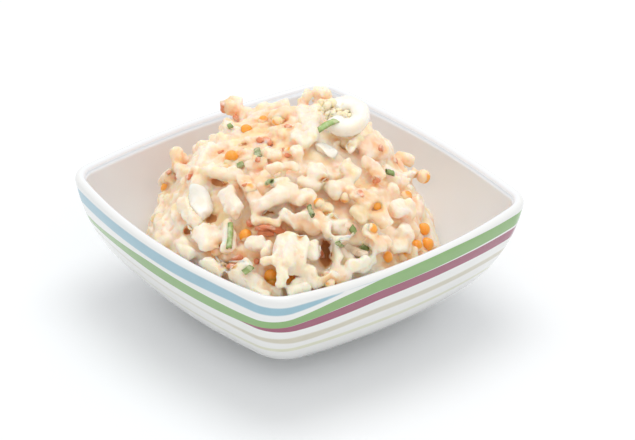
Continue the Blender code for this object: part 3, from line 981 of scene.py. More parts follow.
def heap_batch(core_points, core_faces, core_tree, cavity):
    """The core with every dressed piece on it."""
    rng = random.Random(SEED)
    batch = Batch()
    batch.add(core_points, core_faces, 2)
    sampler = Sampler(core_points, core_faces, open_air(cavity))
    for count, lengths, widths, lifts, flatness, shown_lift in (UNDER_STRIPS, OVER_STRIPS):
        for spot in sampler.spread(rng, count):
            width = rng.uniform(*widths)
            sizes = (rng.uniform(*lengths) * MM, width, width * rng.uniform(*flatness))
            lift, tone = rng.uniform(*lifts), random_tone(rng)
            if seen_in_photo(*spot):
                if shown_lift is None:
                    continue
                lift *= shown_lift
            add_walk(batch, core_tree, spot, rng, sizes, lift, tone)
    stem_rng = random.Random(SEED + 12)
    for pixels, width, thickness, lift, tone in PLACED_STRIPS:
        path, ups = placed_path(core_tree, pixels, lift, PLACED_SHARE)
        add_stem(batch, core_tree, Vector(path[len(path) // 2]), width * MM, stem_rng, tone)
        grow = PLACED_GROW * MM
        batch.add(*tube(path, ups, width * grow, thickness * grow, rng), tone)
    return batch


def surface_of(batch, cavity):
    """A search tree over the shapes so far, and a sampler of their open part."""
    points = batch.all_points().tolist()
    tree = BVHTree.FromPolygons(points, batch.faces)
    return tree, Sampler(points, batch.faces, open_air(cavity))


def is_covered(tree, point, normal):
    """Whether another shape lies over a place."""
    return tree.ray_cast(point + normal * TOUCHING, normal)[0] is not None


def add_shreds(batch, cavity):
    """Small torn shreds that lie over the strips and in the gaps between them."""
    rng = random.Random(SEED + 9)
    tree, sampler = surface_of(batch, cavity)
    count, lengths, widths, lifts = SHREDS
    laid = 0
    while laid < count:
        point, normal = sampler.draw(rng)
        if is_covered(tree, point, normal):
            continue
        if seen_in_photo(point, normal) and rng.random() > SHOWN_SHARE:
            continue
        width = rng.uniform(*widths)
        sizes = (rng.uniform(*lengths) * MM, width, width * rng.uniform(0.5, 0.8))
        add_walk(batch, tree, (point, normal), rng, sizes, rng.uniform(*lifts), random_tone(rng))
        laid += 1


def add_crumbs(batch, cavity):
    """Small lumps of dressing and torn bits over all the strips."""
    rng = random.Random(SEED + 1)
    tree, sampler = surface_of(batch, cavity)
    count, sizes = CRUMBS
    for _ in range(count):
        point, normal = sampler.draw(rng)
        size = rng.uniform(*sizes) * MM
        if is_covered(tree, point, normal):
            continue
        if seen_in_photo(point, normal) and rng.random() > SHOWN_SHARE:
            continue
        axes = random_axes(rng, normal)
        measures = (size * rng.uniform(0.9, 1.6), size, size * rng.uniform(0.5, 0.8))
        batch.add(*lump(point, axes, measures, rng, SMALL_BALL), random_tone(rng))


def keep_in_cavity(points, cavity):
    """Moves points that reach the bowl back inside it."""
    for i, point in enumerate(points):
        if point[2] > RIM_HEIGHT + ABOVE_BOWL or math.hypot(*point[:2]) < MIDDLE < point[2]:
            continue
        found, normal, _, _ = cavity.find_nearest(Vector(point))
        if (Vector(point) - found).dot(normal) > 0:
            points[i] = found


def photo_pixels(points):
    """Where points fall in the photograph."""
    local = (points - np.array(EYE)) @ np.array(VIEW_MATRIX)
    u = IMAGE_WIDTH / 2 + FOCAL_PIXELS * local[:, 0] / -local[:, 2]
    v = IMAGE_HEIGHT / 2 - FOCAL_PIXELS * local[:, 1] / -local[:, 2]
    return u, v


def press_gaps(points, normals):
    """Pushes the surface in at the deep gaps; gives how deep each point went, in mm."""
    u, v = photo_pixels(points)
    way = np.array(pixel_ray(*RIM_CENTRE_PIXEL))
    facing = smoothstep(0.0, GAP_FACING, normals @ -way)
    depth = np.zeros(len(points))
    for (gap_u, gap_v), across, up, deepest in GAPS:
        reach = ((u - gap_u) / across) ** 2 + ((v - gap_v) / up) ** 2
        depth = np.maximum(depth, deepest * np.exp(-((reach / GAP_SOFTNESS) ** 1.5)))
    depth *= facing * (points[:, 2] > RIM_HEIGHT - GAP_DEPTH)
    return points + way * (depth * MM)[:, None], depth


def fit_sides(points):
    """Draws in what stands out past the heap's sides in the photograph."""
    u, v = photo_pixels(points)
    left_rows, left = np.array(LEFT_EDGE).T
    right_rows, right = np.array(RIGHT_EDGE).T
    past_left = np.maximum(0.0, np.interp(v, left_rows, left, left=0) - u)
    past_right = np.maximum(0.0, u - np.interp(v, right_rows, right, left=IMAGE_WIDTH))
    move = (past_left - past_right) * (1 - SIDE_GIVE) * VIEW_DISTANCE / FOCAL_PIXELS
    return points + np.array(VIEW_MATRIX.col[0])[:3] * move[:, None]


def mass_relief(points):
    """Creases and small lumps of the dressing, in mm."""
    lumps = sum(np.abs(noise_at(points, pace, shift)) * high for pace, shift, high in CREASES)
    pace, shift, high = GRAIN
    return lumps - RELIEF_SINK + noise_at(points, pace, shift) * high


def outer_shell(mesh):
    """The mesh without the shells of the closed pockets inside it and without specks."""
    count = len(mesh.vertices)
    group = list(range(count))

    def root(i):
        """The first vertex of the shell that a vertex belongs to."""
        while group[i] != i:
            group[i] = group[group[i]]
            i = group[i]
        return i

    for a, b in read_edges(mesh).tolist():
        first, second = root(a), root(b)
        if first != second:
            group[max(first, second)] = min(first, second)
    roots = np.array([root(i) for i in range(count)])
    mesh.calc_loop_triangles()
    corners = np.empty(len(mesh.loop_triangles) * 3, np.int32)
    mesh.loop_triangles.foreach_get("vertices", corners)
    corners = corners.reshape(-1, 3)
    a, b, c = (read_points(mesh)[corners[:, k]] for k in range(3))
    volumes = np.bincount(roots[corners[:, 0]], (np.cross(a, b) * c).sum(1) / 6, count)
    bm = bmesh.new()
    bm.from_mesh(mesh)
    bm.verts.ensure_lookup_table()
    spare = [bm.verts[i] for i in np.flatnonzero(volumes[roots] < SPECK)]
    bmesh.ops.delete(bm, geom=spare, context="VERTS")
    bm.to_mesh(mesh)
    bm.free()
    return mesh


def build_mass(cavity):
    """The dressed mass: core, strips and crumbs melted into one uneven body."""
    core_points, core_faces = build_core()
    core_tree = BVHTree.FromPolygons([Vector(p) for p in core_points], core_faces)
    batch = heap_batch(core_points, core_faces, core_tree, cavity)
    add_shreds(batch, cavity)
    add_crumbs(batch, cavity)
    mass = batch.build("dressed_mass")
    remesh = mass.modifiers.new("melt", "REMESH")
    remesh.mode = "VOXEL"
    remesh.voxel_size = VOXEL
    mesh = outer_shell(evaluated_mesh(mass))
    edges = read_edges(mesh)
    points = averaged(read_points(mesh), edges, 1, SOFTENING)
    write_points(mesh, points)
    broad = averaged(points, edges, FILL_ROUNDS, BROAD_SMOOTHING)
    normals = read_normals(mesh)
    valley = np.maximum(0.0, ((broad - points) * normals).sum(1))
    points = points + normals * (valley * FILL_SHARE)[:, None]
    points = fit_sides(averaged(points, edges, 1, SOFTENING))
    write_points(mesh, points)
    points, pressed = press_gaps(points, read_normals(mesh))
    points = averaged(points, edges, 1, LAST_SOFTENING)
    write_points(mesh, points)
    write_points(mesh, points + read_normals(mesh) * (mass_relief(points) * MM)[:, None])
    write_value(mesh, "pressed", pressed)
    triangles = sum(len(face.vertices) - 2 for face in mesh.polygons)
    if triangles > MOST_TRIANGLES:
        fewer = mass.modifiers.new("fewer", "DECIMATE")
        fewer.ratio = MOST_TRIANGLES / triangles
        mesh = evaluated_mesh(mass)
    points = read_points(mesh)
    keep_in_cavity(points, cavity)
    points[:, 2] = np.minimum(points[:, 2], CAD_BOX[1].z)
    write_points(mesh, points)
    shade_attributes(mesh, points, batch)
    mesh.shade_smooth()
    return mass


def shade_attributes(mesh, points, batch):
    """Stores each point's tone colour with painted light on the lower front, its painted hollow
    shade, partly pooled sauce, and its painted ridge highlight.
    """
    edges = read_edges(mesh)
    normals = read_normals(mesh)
    hollow_shade_and_sauce = np.zeros(len(points))
    # Painted shade: the deeper a point lies under its smoothed neighbours, the warmer and darker
    # its colour, partly the orange sauce that pools there
    for rounds, low, high, weight in (BROAD_HOLLOW_SHADE, FINE_HOLLOW_SHADE):
        around = averaged(points, edges, rounds, BROAD_SMOOTHING)
        depth = ((around - points) * normals).sum(1) / MM
        hollow_shade_and_sauce += smoothstep(low, high, depth) * weight
    # Painted highlight where a point stands out of its neighbours
    ridge_highlight = smoothstep(*RIDGE_HIGHLIGHT, -depth)
    # Painted light: the heap's lower front loses most of its painted shade
    pale = PAINTED_FRONT_LIGHT * smoothstep(*FRONT_LIGHT_ROWS, photo_pixels(points)[1])
    hollow_shade_and_sauce *= 1 - pale
    # Painted shade in the gaps that were pressed in
    hollow_shade_and_sauce += smoothstep(*PRESSED_GAP_SHADE, read_value(mesh, "pressed"))
    tones = np.concatenate(batch.tones).astype(int)
    source = batch.all_points()
    tree = KDTree(len(source))
    for i, point in enumerate(source):
        tree.insert(point, i)
    tree.balance()
    nearest = np.array([tree.find(Vector(p))[1] for p in points])
    palette = np.array(TONE_COLOURS)
    colours = averaged(palette[tones[nearest]], edges, TONE_BLUR)
    # Painted light on the lower front, a paler cream
    colours += (np.array(FRONT_LIGHT_COLOUR) - colours) * (pale * FRONT_LIGHT_TINT)[:, None]
    write_colour(mesh, "tone", colours)
    write_value(mesh, "hollow_shade_and_sauce", np.clip(hollow_shade_and_sauce, 0, 1))
    write_value(mesh, "ridge_highlight", ridge_highlight)


# Pieces of other colours. Pixels are of the photograph.

# Roe: pixel, diameter in mm, how far it stands out of the mass, share coated
ROE = (
    ((246.4, 130.7), 5.6, 0.54, 0.15), ((231.4, 157.0), 6.0, 0.60, 0.13),
    ((167.0, 189.0), 5.8, 0.37, 0.62), ((217.0, 251.0), 5.4, 0.37, 0.54),
    ((245.6, 235.5), 5.8, 0.52, 0.08), ((263.0, 120.7), 4.4, 0.42, 0.51),
    ((277.0, 120.9), 5.0, 0.42, 0.56), ((251.0, 189.0), 5.2, 0.37, 0.56),
    ((288.5, 153.0), 5.0, 0.32, 0.68), ((270.7, 276.0), 5.8, 0.60, 0.08),
    ((271.5, 281.5), 5.4, 0.47, 0.08), ((288.6, 278.6), 5.0, 0.47, 0.36),
    ((423.4, 176.5), 6.0, 0.60, 0.46), ((406.0, 196.5), 5.4, 0.47, 0.51),
    ((319.3, 203.6), 4.8, 0.42, 0.46), ((345.2, 197.4), 5.0, 0.32, 0.71),
    ((371.5, 229.5), 5.2, 0.32, 0.46), ((423.6, 229.3), 5.8, 0.57, 0.08),
    ((427.2, 244.2), 5.8, 0.52, 0.08), ((416.0, 246.0), 5.6, 0.42, 0.41),
    ((386.8, 257.0), 5.6, 0.47, 0.56), ((401.5, 256.8), 5.2, 0.32, 0.61),
    ((344.5, 143.5), 5.4, 0.32, 0.71), ((329.0, 283.0), 5.0, 0.27, 0.61),
    ((376.0, 205.5), 5.4, 0.25, 0.02),
)
ROE_ELSEWHERE = 26
STAIN_REACH = 0.0036
# Radius in mm, how far it stands out, and share coated, of the roe behind
ROE_RADII = (2.2, 2.9)
ROE_OUT = (-0.5, 0.2)
ROE_COATS = (0.1, 0.7)
ROE_UNEVEN = 0.025
# Where the heap hides a place: how far over it and round it is looked at
HIDDEN_MARGIN = 0.0035
HIDDEN_REACH = 0.0042
HIDDEN_WAYS = ((0, 0), (1, 0), (-1, 0), (0, 1), (0.7, 0.7), (-0.7, 0.7))
ELSEWHERE_APART = 0.012
ELSEWHERE_CLOSER = 0.995  # after each place that is too near another
ELSEWHERE_LOWEST = LOWEST_PIECE + 4 * MM
FAR_SIDE = 0.006
# Chives: the pixels of both ends and how bright
CHIVES = (
    (((257.0, 149.5), (258.5, 159.5)), 0.25),
    (((237.5, 166.5), (243.5, 163.5)), 0.45), (((266.5, 183.0), (272.0, 181.5)), 0.50),
    (((309.0, 206.5), (313.0, 215.5)), 0.30), (((351.0, 227.0), (355.0, 233.5)), 0.45),
    (((361.0, 245.5), (368.5, 251.0)), 0.35), (((243.5, 272.5), (251.5, 266.5)), 0.75),
    (((386.5, 171.5), (393.5, 173.5)), 0.45), (((230.5, 223.0), (228.8, 249.0)), 0.85),
    (((337.5, 242.5), (341.5, 246.5)), 0.55), (((228.0, 127.0), (232.0, 125.0)), 0.65),
)
CHIVE_RADIUS = 0.0015
CHIVE_RADII = (0.85, 1.1)  # over the one above
CHIVE_LONGEST = 0.013
CHIVE_SIDES = 14
CHIVE_WALL = 0.30  # over the radius
CHIVE_BEND = (0.02, 0.07)
CHIVE_FLAT = (0.40, 0.70)
CHIVE_SLANT = 0.5
CHIVE_SWELL = 0.06
CHIVE_LIFT = 0.0007
CHIVE_EDGE = 0.6  # how much darker its sides are
CHIVES_ELSEWHERE = 11
CHIVE_HALVES = (2.0, 4.5)  # mm, of those behind
CHIVE_BRIGHT = (0.3, 1.0)
CHIVE_REST = 0.8 * MM
RING_CHIVE = ((318.5, 130.0), (336.0, 120.5))
RING_CHIVE_LIFT = 0.0042
# Crab: pixels along the bit, width and thickness in mm, height over the mass in mm
CRAB = (
    (((223.6, 102.5), (224.0, 111.5)), 3.6, 2.6, 0.6),
    (((250.5, 220.0), (249.5, 227.0)), 3.8, 2.8, 0.7),
    (((256.0, 227.5), (268.0, 227.0), (284.0, 231.5)), 3.2, 2.2, 0.8),
    (((257.0, 233.5), (266.0, 232.5), (274.0, 234.5)), 3.0, 2.2, 0.8),
    (((262.0, 229.5), (270.0, 230.5)), 3.4, 2.4, 0.9),
    (((233.5, 117.0), (238.0, 119.0)), 2.8, 2.0, 0.4),
    (((231.0, 259.5), (243.0, 257.0)), 2.8, 2.0, 0.2),
    (((227.0, 266.5), (234.0, 265.5)), 3.0, 2.0, -0.6),
    (((258.0, 142.5), (262.0, 138.0)), 3.6, 2.6, 0.4),
    (((266.0, 136.5), (269.5, 145.5)), 3.4, 2.4, 0.4),
    (((374.0, 181.5), (378.0, 177.5)), 3.4, 2.4, 0.2),
    (((378.5, 147.0), (383.0, 151.0)), 3.0, 2.0, 0.2),
    (((254.0, 260.0), (258.5, 264.0)), 3.2, 2.2, 0.3),
    (((284.0, 148.5), (288.0, 157.5)), 3.0, 2.2, 0.2),
    (((285.0, 125.5), (291.0, 127.0)), 2.8, 2.0, 0.2),
    (((359.0, 190.0), (361.5, 197.5)), 2.8, 1.8, 0.1),
    (((240.0, 186.5), (246.0, 186.0)), 2.8, 2.0, 0.2),
    (((258.5, 157.5), (257.5, 162.0)), 2.6, 2.0, 0.3),
    (((219.0, 151.5), (221.5, 152.5)), 2.4, 1.8, 0.2),
    (((393.0, 160.0), (396.5, 163.0)), 2.6, 2.0, 0.1),
    (((185.5, 177.0), (191.0, 178.0)), 2.8, 2.0, 0.0),
    (((318.0, 248.0), (323.0, 258.0)), 3.4, 2.2, -1.2),
)
CRAB_ELSEWHERE = 24
# Length, width, thickness and height over the mass in mm, of the bits behind
CRAB_SIZES = ((4, 9), (2.2, 3.6), (1.6, 2.4), 0.3)
CRAB_RELIEF = ((900.0, 0.0, 0.22), (350.0, 3.0, 0.2))
# Smooth white lumps of egg white and squid: pixels, width, thickness, height over
# the mass in mm, and how see-through
WHITES = (
    (((192.0, 190.0), (202.0, 203.0), (208.0, 217.0)), 11.5, 6.0, 1.5, 0.0),
    (((316.5, 145.0), (325.0, 149.5), (335.0, 156.5)), 7.0, 4.4, 1.0, 0.15),
    (((344.0, 246.0), (353.0, 251.0), (365.0, 255.0)), 6.0, 3.0, -0.3, 0.8),
)
# Yellow crumbs in and round the squid ring: pixel, size and height over the middle of
# the ring in mm
YOLK = (
    ((325.5, 106.5), 4.4, 0.0), ((331.0, 110.5), 4.8, 1.0), ((328.0, 114.5), 4.2, 0.0),
    ((335.5, 113.5), 4.4, 1.2), ((341.0, 110.0), 4.0, 0.6), ((340.5, 118.0), 4.0, 0.8),
    ((346.0, 119.5), 3.6, -0.4), ((335.0, 106.5), 3.6, 0.6), ((347.0, 112.5), 3.8, -0.6),
    ((330.5, 103.0), 3.8, 0.0), ((324.0, 111.5), 3.6, -0.6), ((344.0, 115.0), 3.8, -1.2),
)
YOLK_BITS = 7
YOLK_BIT_SIZES = (0.35, 0.7)  # over the crumb's size
YOLK_RISE = 0.5 * MM
YOLK_UNEVEN = 0.3
# Thin threads of dressing: pixels along, width in mm
THREADS = (
    (((217.0, 260.0), (230.0, 261.5), (245.0, 261.0)), 0.9),
    (((214.5, 252.0), (216.5, 258.0), (222.0, 266.0)), 1.0),
    (((339.0, 239.5), (348.0, 238.0), (354.0, 233.0)), 1.1),
    (((323.5, 238.0), (327.5, 240.0), (332.0, 239.0)), 1.0),
)
THREAD_LIFT = 0.4
THREAD_STEP = 0.0005
FINE_STEP = 0.0006  # between the rings of a fine strip

# Squid ring, as the solid has it
RING_RADIUS = 0.0064
RING_TUBE = 0.0041
RING_GAP_ANGLE = math.radians(60)
RING_PLACE = (0.0200, -0.0010, 0.0955)  # across, away, height
RING_LEAN = math.radians(20)
RING_STEPS = 72
RING_SIDES = 28
RING_END = 0.045  # the share of its length over which an end rounds off
RING_SWELLS = ((3, 1.0, 0.05), (5, 0.0, 0.03))  # waves round it, start, height
RING_CORNER = 1.12
RING_SLIM = (0.95, 0.90)  # across and over the tube
RING_WAVE = 0.35 * MM
RING_RELIEF = ((260.0, 0.0, 0.18), (700.0, 0.0, 0.06))


def hidden(tree, point, normal):
    """Whether the heap hides a place, and what lies round it, from the photograph."""
    for across, up in HIDDEN_WAYS:
        shift = VIEW_MATRIX.col[0] * across + VIEW_MATRIX.col[1] * up
        probe = point + normal * HIDDEN_MARGIN + shift * HIDDEN_REACH
        if tree.ray_cast(probe, VIEW_BACK)[0] is None:
            return False
    return True


def elsewhere(tree, sampler, rng, count):
    """Places on the far side of the heap, apart from each other."""
    found = []
    apart = ELSEWHERE_APART
    while len(found) < count:
        point, normal = sampler.draw(rng)
        behind = -point.dot(VIEW_BACK) + point.z * VIEW_BACK.z > FAR_SIDE
        if not behind or point.z < ELSEWHERE_LOWEST or not hidden(tree, point, normal):
            continue
        if all((point - other).length > apart for other, _ in found):
            found.append((point, normal))
        else:
            apart *= ELSEWHERE_CLOSER
    return found


def stain_round(mass, pieces):
    """Marks where the mass lies close to roe or crab, which colour the dressing."""
    points = np.vstack([read_points(piece.data) for piece in pieces])
    tree = KDTree(len(points))
    for i, point in enumerate(points):
        tree.insert(point, i)
    tree.balance()
    reach = np.array([tree.find(Vector(point))[2] for point in read_points(mass.data)])
    write_value(mass.data, "stained", np.exp(-((reach / STAIN_REACH) ** 2)))


def coat_cover(coat, patches, facing):
    """How milky each point of an egg of roe is, more so where it turns to the mass."""
    return smoothstep(-0.35, 0.45, 2.2 * (coat - 0.36) + 0.8 * patches - facing + 0.25)


def build_roe(mass_tree, sampler):
    """Round eggs of roe, sunk in the dressing and partly coated by it."""
    rng = random.Random(SEED + 2)
    batch = Batch()
    coats = []
    balls = []
    for (u, v), size, out, coat in ROE:
        point, normal = under_pixel(mass_tree, u, v, 0.0)
        radius = size * MM / 2
        centre = point - pixel_ray(u, v) * radius * (out * 2 - 1)
        balls.append((centre, normal, radius, coat))
    for point, normal in elsewhere(mass_tree, sampler, rng, ROE_ELSEWHERE):
        radius = rng.uniform(*ROE_RADII) * MM
        centre = point + normal * radius * rng.uniform(*ROE_OUT)
        balls.append((centre, normal, radius, rng.uniform(*ROE_COATS)))
    for centre, normal, radius, coat in balls:
        axes = random_axes(rng, normal)
        measures = [2 * radius * rng.uniform(0.96, 1.04) for _ in range(3)]
        points, faces = lump(centre, axes, measures, rng, SMOOTH_BALL, ROE_UNEVEN)
        facing = (SMOOTH_BALL[0] @ np.array([list(axis) for axis in axes])) @ np.array(normal)
        patches = noise_at(points, 300.0, rng.uniform(0, 90))
        batch.add(points, faces)
        coats.append(coat_cover(coat, patches, facing))
    return batch.build("roe", coat=coats)


def chive_shape(start, end, up, radius, rng):
    """A cut tube of chive with open ends, slightly flattened."""
    sides = CHIVE_SIDES
    along = end - start
    bend = up * along.length * rng.uniform(*CHIVE_BEND)
    line = spline([start, (start + end) / 2 + bend, end], 9)
    way = np.array(along.normalized())
    side = np.cross(np.array(up), way)
    side /= np.linalg.norm(side)
    rise = np.cross(way, side)
    flat = rng.uniform(*CHIVE_FLAT)
    slants = [rng.uniform(-CHIVE_SLANT, CHIVE_SLANT) for _ in range(2)]
    rings = []
    for order, share in ((1, 1.0), (-1, 1.0 - CHIVE_WALL)):
        for i, middle in list(enumerate(line))[::order]:
            swell = 1 + CHIVE_SWELL * math.sin(i * 1.3 + slants[0] * 9)
            ring = []
            for k in range(sides):
                angle = math.tau * k / sides
                out = math.cos(angle) * side + math.sin(angle) * flat * rise
                cut = 0.0
                if i in (0, len(line) - 1):
                    cut = math.cos(angle) * slants[i > 0] * radius
                ring.append(middle + out * radius * share * swell + way * cut)
            rings.append(ring)
    points = np.array([p for ring in rings for p in ring])
    edge = np.abs(np.cos(np.arange(len(points)) % sides * math.tau / sides)) ** 3
    faces = loft_faces(len(rings), sides)[1:-1]
    last = (len(rings) - 1) * sides
    for k in range(sides):
        j = (k + 1) % sides
        faces.append((last + k, last + j, j, k))
    return points, faces, edge


def build_chives(mass_tree, sampler):
    """Cut lengths of chive."""
    rng = random.Random(SEED + 3)
    batch = Batch()
    shades = []
    laid = []
    for ((u0, v0), (u1, v1)), bright in CHIVES:
        start, normal = under_pixel(mass_tree, u0, v0, CHIVE_LIFT)
        end, _ = under_pixel(mass_tree, u1, v1, CHIVE_LIFT)
        if (end - start).length > CHIVE_LONGEST:
            end = start + (end - start).normalized() * CHIVE_LONGEST
        laid.append((start, end, normal, bright))
    (start, normal), (end, _) = [on_ring_plane(u, v, RING_CHIVE_LIFT) for u, v in RING_CHIVE]
    laid.append((start, end, normal, 1.0))
    for point, normal in elsewhere(mass_tree, sampler, rng, CHIVES_ELSEWHERE):
        heading = random_axes(rng, normal)[0] * rng.uniform(*CHIVE_HALVES) * MM
        lifted = point + normal * CHIVE_REST
        laid.append((lifted - heading, lifted + heading, normal, rng.uniform(*CHIVE_BRIGHT)))
    for start, end, normal, bright in laid:
        radius = CHIVE_RADIUS * rng.uniform(*CHIVE_RADII)
        points, faces, edge = chive_shape(start, end, normal, radius, rng)
        batch.add(points, faces)
        shades.append(np.clip(bright - CHIVE_EDGE * edge, 0, 1))
    return batch.build("chives", bright=shades)


def build_crab(mass_tree, sampler):
    """Torn red and white bits of crab."""
    rng = random.Random(SEED + 4)
    batch = Batch()
    laid = []
    for pixels, width, thickness, lift in CRAB:
        laid.append((*placed_path(mass_tree, pixels, lift), width, thickness))
    lengths, widths, thicknesses, lift = CRAB_SIZES
    for point, normal in elsewhere(mass_tree, sampler, rng, CRAB_ELSEWHERE):
        heading = random_axes(rng, normal)[0]
        stations = walk(mass_tree, point, normal, heading, rng.uniform(*lengths) * MM, steps=4)
        path = np.array([place + facing * lift * MM for place, facing in stations])
        ups = np.array([facing for _, facing in stations])
        laid.append((path, ups, rng.uniform(*widths), rng.uniform(*thicknesses)))
    for path, ups, width, thickness in laid:
        batch.add(*tube(path, ups, width * MM, thickness * MM, rng, 16, 0.2, FINE_STEP))
    crab = batch.build("crab")
    add_relief(crab.data, CRAB_RELIEF)
    return crab


def build_whites(mass_tree):
    """Smooth lumps of egg white and squid."""
    rng = random.Random(SEED + 5)
    batch = Batch()
    clear = []
    for pixels, width, thickness, lift, see_through in WHITES:
        path, ups = placed_path(mass_tree, pixels, lift)
        points, faces = tube(path, ups, width * MM, thickness * MM, rng, 24, 0.10, FINE_STEP)
        batch.add(points, faces)
        clear.append(np.full(len(points), see_through))
    whites = batch.build("egg_white_and_squid", clear=clear)
    soften = whites.modifiers.new("soften", "SUBSURF")
    soften.levels = soften.render_levels = 1
    evaluated_mesh(whites)
    return whites


def ring_frame():
    """The ring's middle and its three directions, the last one over its face."""
    across, away, height = RING_PLACE
    turn = Matrix.Rotation(math.atan2(ACROSS.y, ACROSS.x), 3, "Z")
    axes = turn @ Matrix.Rotation(RING_LEAN, 3, "X")
    return ACROSS * across + AWAY * away + UP * height, axes.col[0], axes.col[1], axes.col[2]


def on_ring_plane(u, v, lift):
    """The point at a pixel that lies lift over the middle plane of the ring."""
    middle, _, _, normal = ring_frame()
    way = pixel_ray(u, v)
    reach = (middle + normal * lift - EYE).dot(normal) / way.dot(normal)
    return EYE + way * reach, normal


def build_ring():
    """The thick open ring of squid that leans on the heap."""
    middle, first, second, normal = ring_frame()
    points = []
    for i in range(RING_STEPS):
        share = i / (RING_STEPS - 1)
        angle = math.pi + RING_GAP_ANGLE / 2 + (math.tau - RING_GAP_ANGLE) * share
        out = Vector((math.cos(angle), math.sin(angle), 0.0))
        end = min(share, 1 - share) / RING_END
        swell = math.sqrt(max(0.0, 1 - (1 - min(1.0, end)) ** 2)) * 0.995 + 0.005
        swell *= 1 + sum(high * math.sin(angle * k + start) for k, start, high in RING_SWELLS)
        for k in range(RING_SIDES):
            turned = math.tau * k / RING_SIDES
            c, s = math.cos(turned), math.sin(turned)
            squarish = (abs(c) ** 3 + abs(s) ** 3) ** (-1 / 3)
            reach = RING_TUBE * min(squarish, RING_CORNER) * RING_SLIM[0] * swell
            rise = s * reach * RING_SLIM[1] + RING_WAVE * math.sin(angle * 2.0)
            flat = out * (RING_RADIUS + c * reach)
            points.append(middle + first * flat.x + second * flat.y + normal * rise)
    ring = new_object("squid_loop", points, loft_faces(RING_STEPS, RING_SIDES))
    add_relief(ring.data, RING_RELIEF)
    ring.data.shade_smooth()
    return ring


def build_yolk():
    """Crumbs of yolk in and beside the squid ring."""
    rng = random.Random(SEED + 6)
    batch = Batch()
    for (u, v), size, lift in YOLK:
        point, normal = on_ring_plane(u, v, lift * MM)
        for _ in range(YOLK_BITS):
            shift = Vector([rng.uniform(-0.5, 0.5) * size * MM for _ in range(3)])
            bit = size * MM * rng.uniform(*YOLK_BIT_SIZES)
            centre = point + shift + normal * YOLK_RISE
            batch.add(*lump(centre, random_axes(rng), (bit,) * 3, rng, FINE_BALL, YOLK_UNEVEN))
    return batch.build("yolk_crumbs")


def build_threads(mass_tree):
    """Thin threads of dressing drawn between the pieces."""
    rng = random.Random(SEED + 7)
    batch = Batch()
    for pixels, width in THREADS:
        path, ups = placed_path(mass_tree, pixels, THREAD_LIFT)
        batch.add(*tube(path, ups, width * MM, width * MM, rng, 10, 0.15, THREAD_STEP))
    threads = batch.build("sauce_threads")
    write_colour(threads.data, "tone", np.tile(TONE_COLOURS[1], (len(threads.data.vertices), 1)))
    return threads


# Materials


class Nodes:
    """A Principled material and the nodes that feed it."""

    def __init__(self, name, **values):
        self.material = bpy.data.materials.new(name)
        self.material.use_nodes = True
        self.tree = self.material.node_tree
        self.shader = self.tree.nodes["Principled BSDF"]
        for key, value in values.items():
            self.shader.inputs[key.replace("_", " ")].default_value = value
        self.place = self.tree.nodes.new("ShaderNodeTexCoord").outputs["Object"]

    def link(self, output, target):
        """Joins an output to an input."""
        self.tree.links.new(output, target)

    def feed(self, name, output):
        """Joins an output to the shader's input of this name."""
        self.link(output, self.shader.inputs[name])

    def noise(self, per_metre, detail=3.0, rough=0.5, distortion=0.0, stretch=None):
        """Noise from 0 to 1 at this many cells a metre."""
        node = self.tree.nodes.new("ShaderNodeTexNoise")
        node.inputs["Scale"].default_value = per_metre
        node.inputs["Detail"].default_value = detail
        node.inputs["Roughness"].default_value = rough
        node.inputs["Distortion"].default_value = distortion
        place = self.place
        if stretch:
            mapping = self.tree.nodes.new("ShaderNodeMapping")
            mapping.inputs["Scale"].default_value = stretch
            self.link(place, mapping.inputs["Vector"])
            place = mapping.outputs["Vector"]
        self.link(place, node.inputs["Vector"])
        return node.outputs["Fac"]

    def value(self, name):
        """A number stored on the mesh."""
        node = self.tree.nodes.new("ShaderNodeAttribute")
        node.attribute_name = name
        return node.outputs["Fac"]

    def colour(self, name):
        """A colour stored on the mesh."""
        node = self.tree.nodes.new("ShaderNodeAttribute")
        node.attribute_name = name
        return node.outputs["Color"]

    def span(self, output, low, high, to_low=0.0, to_high=1.0):
        """The output's range from low to high, eased to the new range."""
        node = self.tree.nodes.new("ShaderNodeMapRange")
        node.interpolation_type = "SMOOTHSTEP"
        self.link(output, node.inputs["Value"])
        node.inputs["From Min"].default_value = low
        node.inputs["From Max"].default_value = high
        node.inputs["To Min"].default_value = to_low
        node.inputs["To Max"].default_value = to_high
        return node.outputs["Result"]

    def math(self, kind, first, second):
        """One step of arithmetic on outputs or numbers."""
        node = self.tree.nodes.new("ShaderNodeMath")
        node.operation = kind
        for socket, given in zip(node.inputs, (first, second)):
            if isinstance(given, (int, float)):
                socket.default_value = given
            else:
                self.link(given, socket)
        return node.outputs["Value"]

    def mix(self, share, first, second):
        """A colour between two, by a share from 0 to 1."""
        node = self.tree.nodes.new("ShaderNodeMix")
        node.data_type = "RGBA"
        factor = next(s for s in node.inputs if s.name == "Factor" and s.type == "VALUE")
        first_in = next(s for s in node.inputs if s.name == "A" and s.type == "RGBA")
        second_in = next(s for s in node.inputs if s.name == "B" and s.type == "RGBA")
        for socket, given in zip((factor, first_in, second_in), (share, first, second)):
            if isinstance(given, tuple):
                socket.default_value = (*given, 1.0)
            elif isinstance(given, (int, float)):
                socket.default_value = given
            else:
                self.link(given, socket)
        return next(s for s in node.outputs if s.type == "RGBA")

    def bump(self, height, strength, distance):
        """Relief from a height, as the shader's normal."""
        node = self.tree.nodes.new("ShaderNodeBump")
        node.inputs["Strength"].default_value = strength
        node.inputs["Distance"].default_value = distance
        self.link(height, node.inputs["Height"])
        self.feed("Normal", node.outputs["Normal"])

    def patches(self, colour, other, share, output, low, high):
        """The colour with patches of another one, as strong as share."""
        return self.mix(self.math("MULTIPLY", self.span(output, low, high), share), colour, other)

    def roughness(self, per_metre, detail, low, high):
        """Roughness that wanders between two values."""
        self.feed("Roughness", self.span(self.noise(per_metre, detail), 0.3, 0.7, low, high))

    def dress(self, thing):
        """Gives the material to an object."""
        thing.data.materials.clear()
        thing.data.materials.append(self.material)


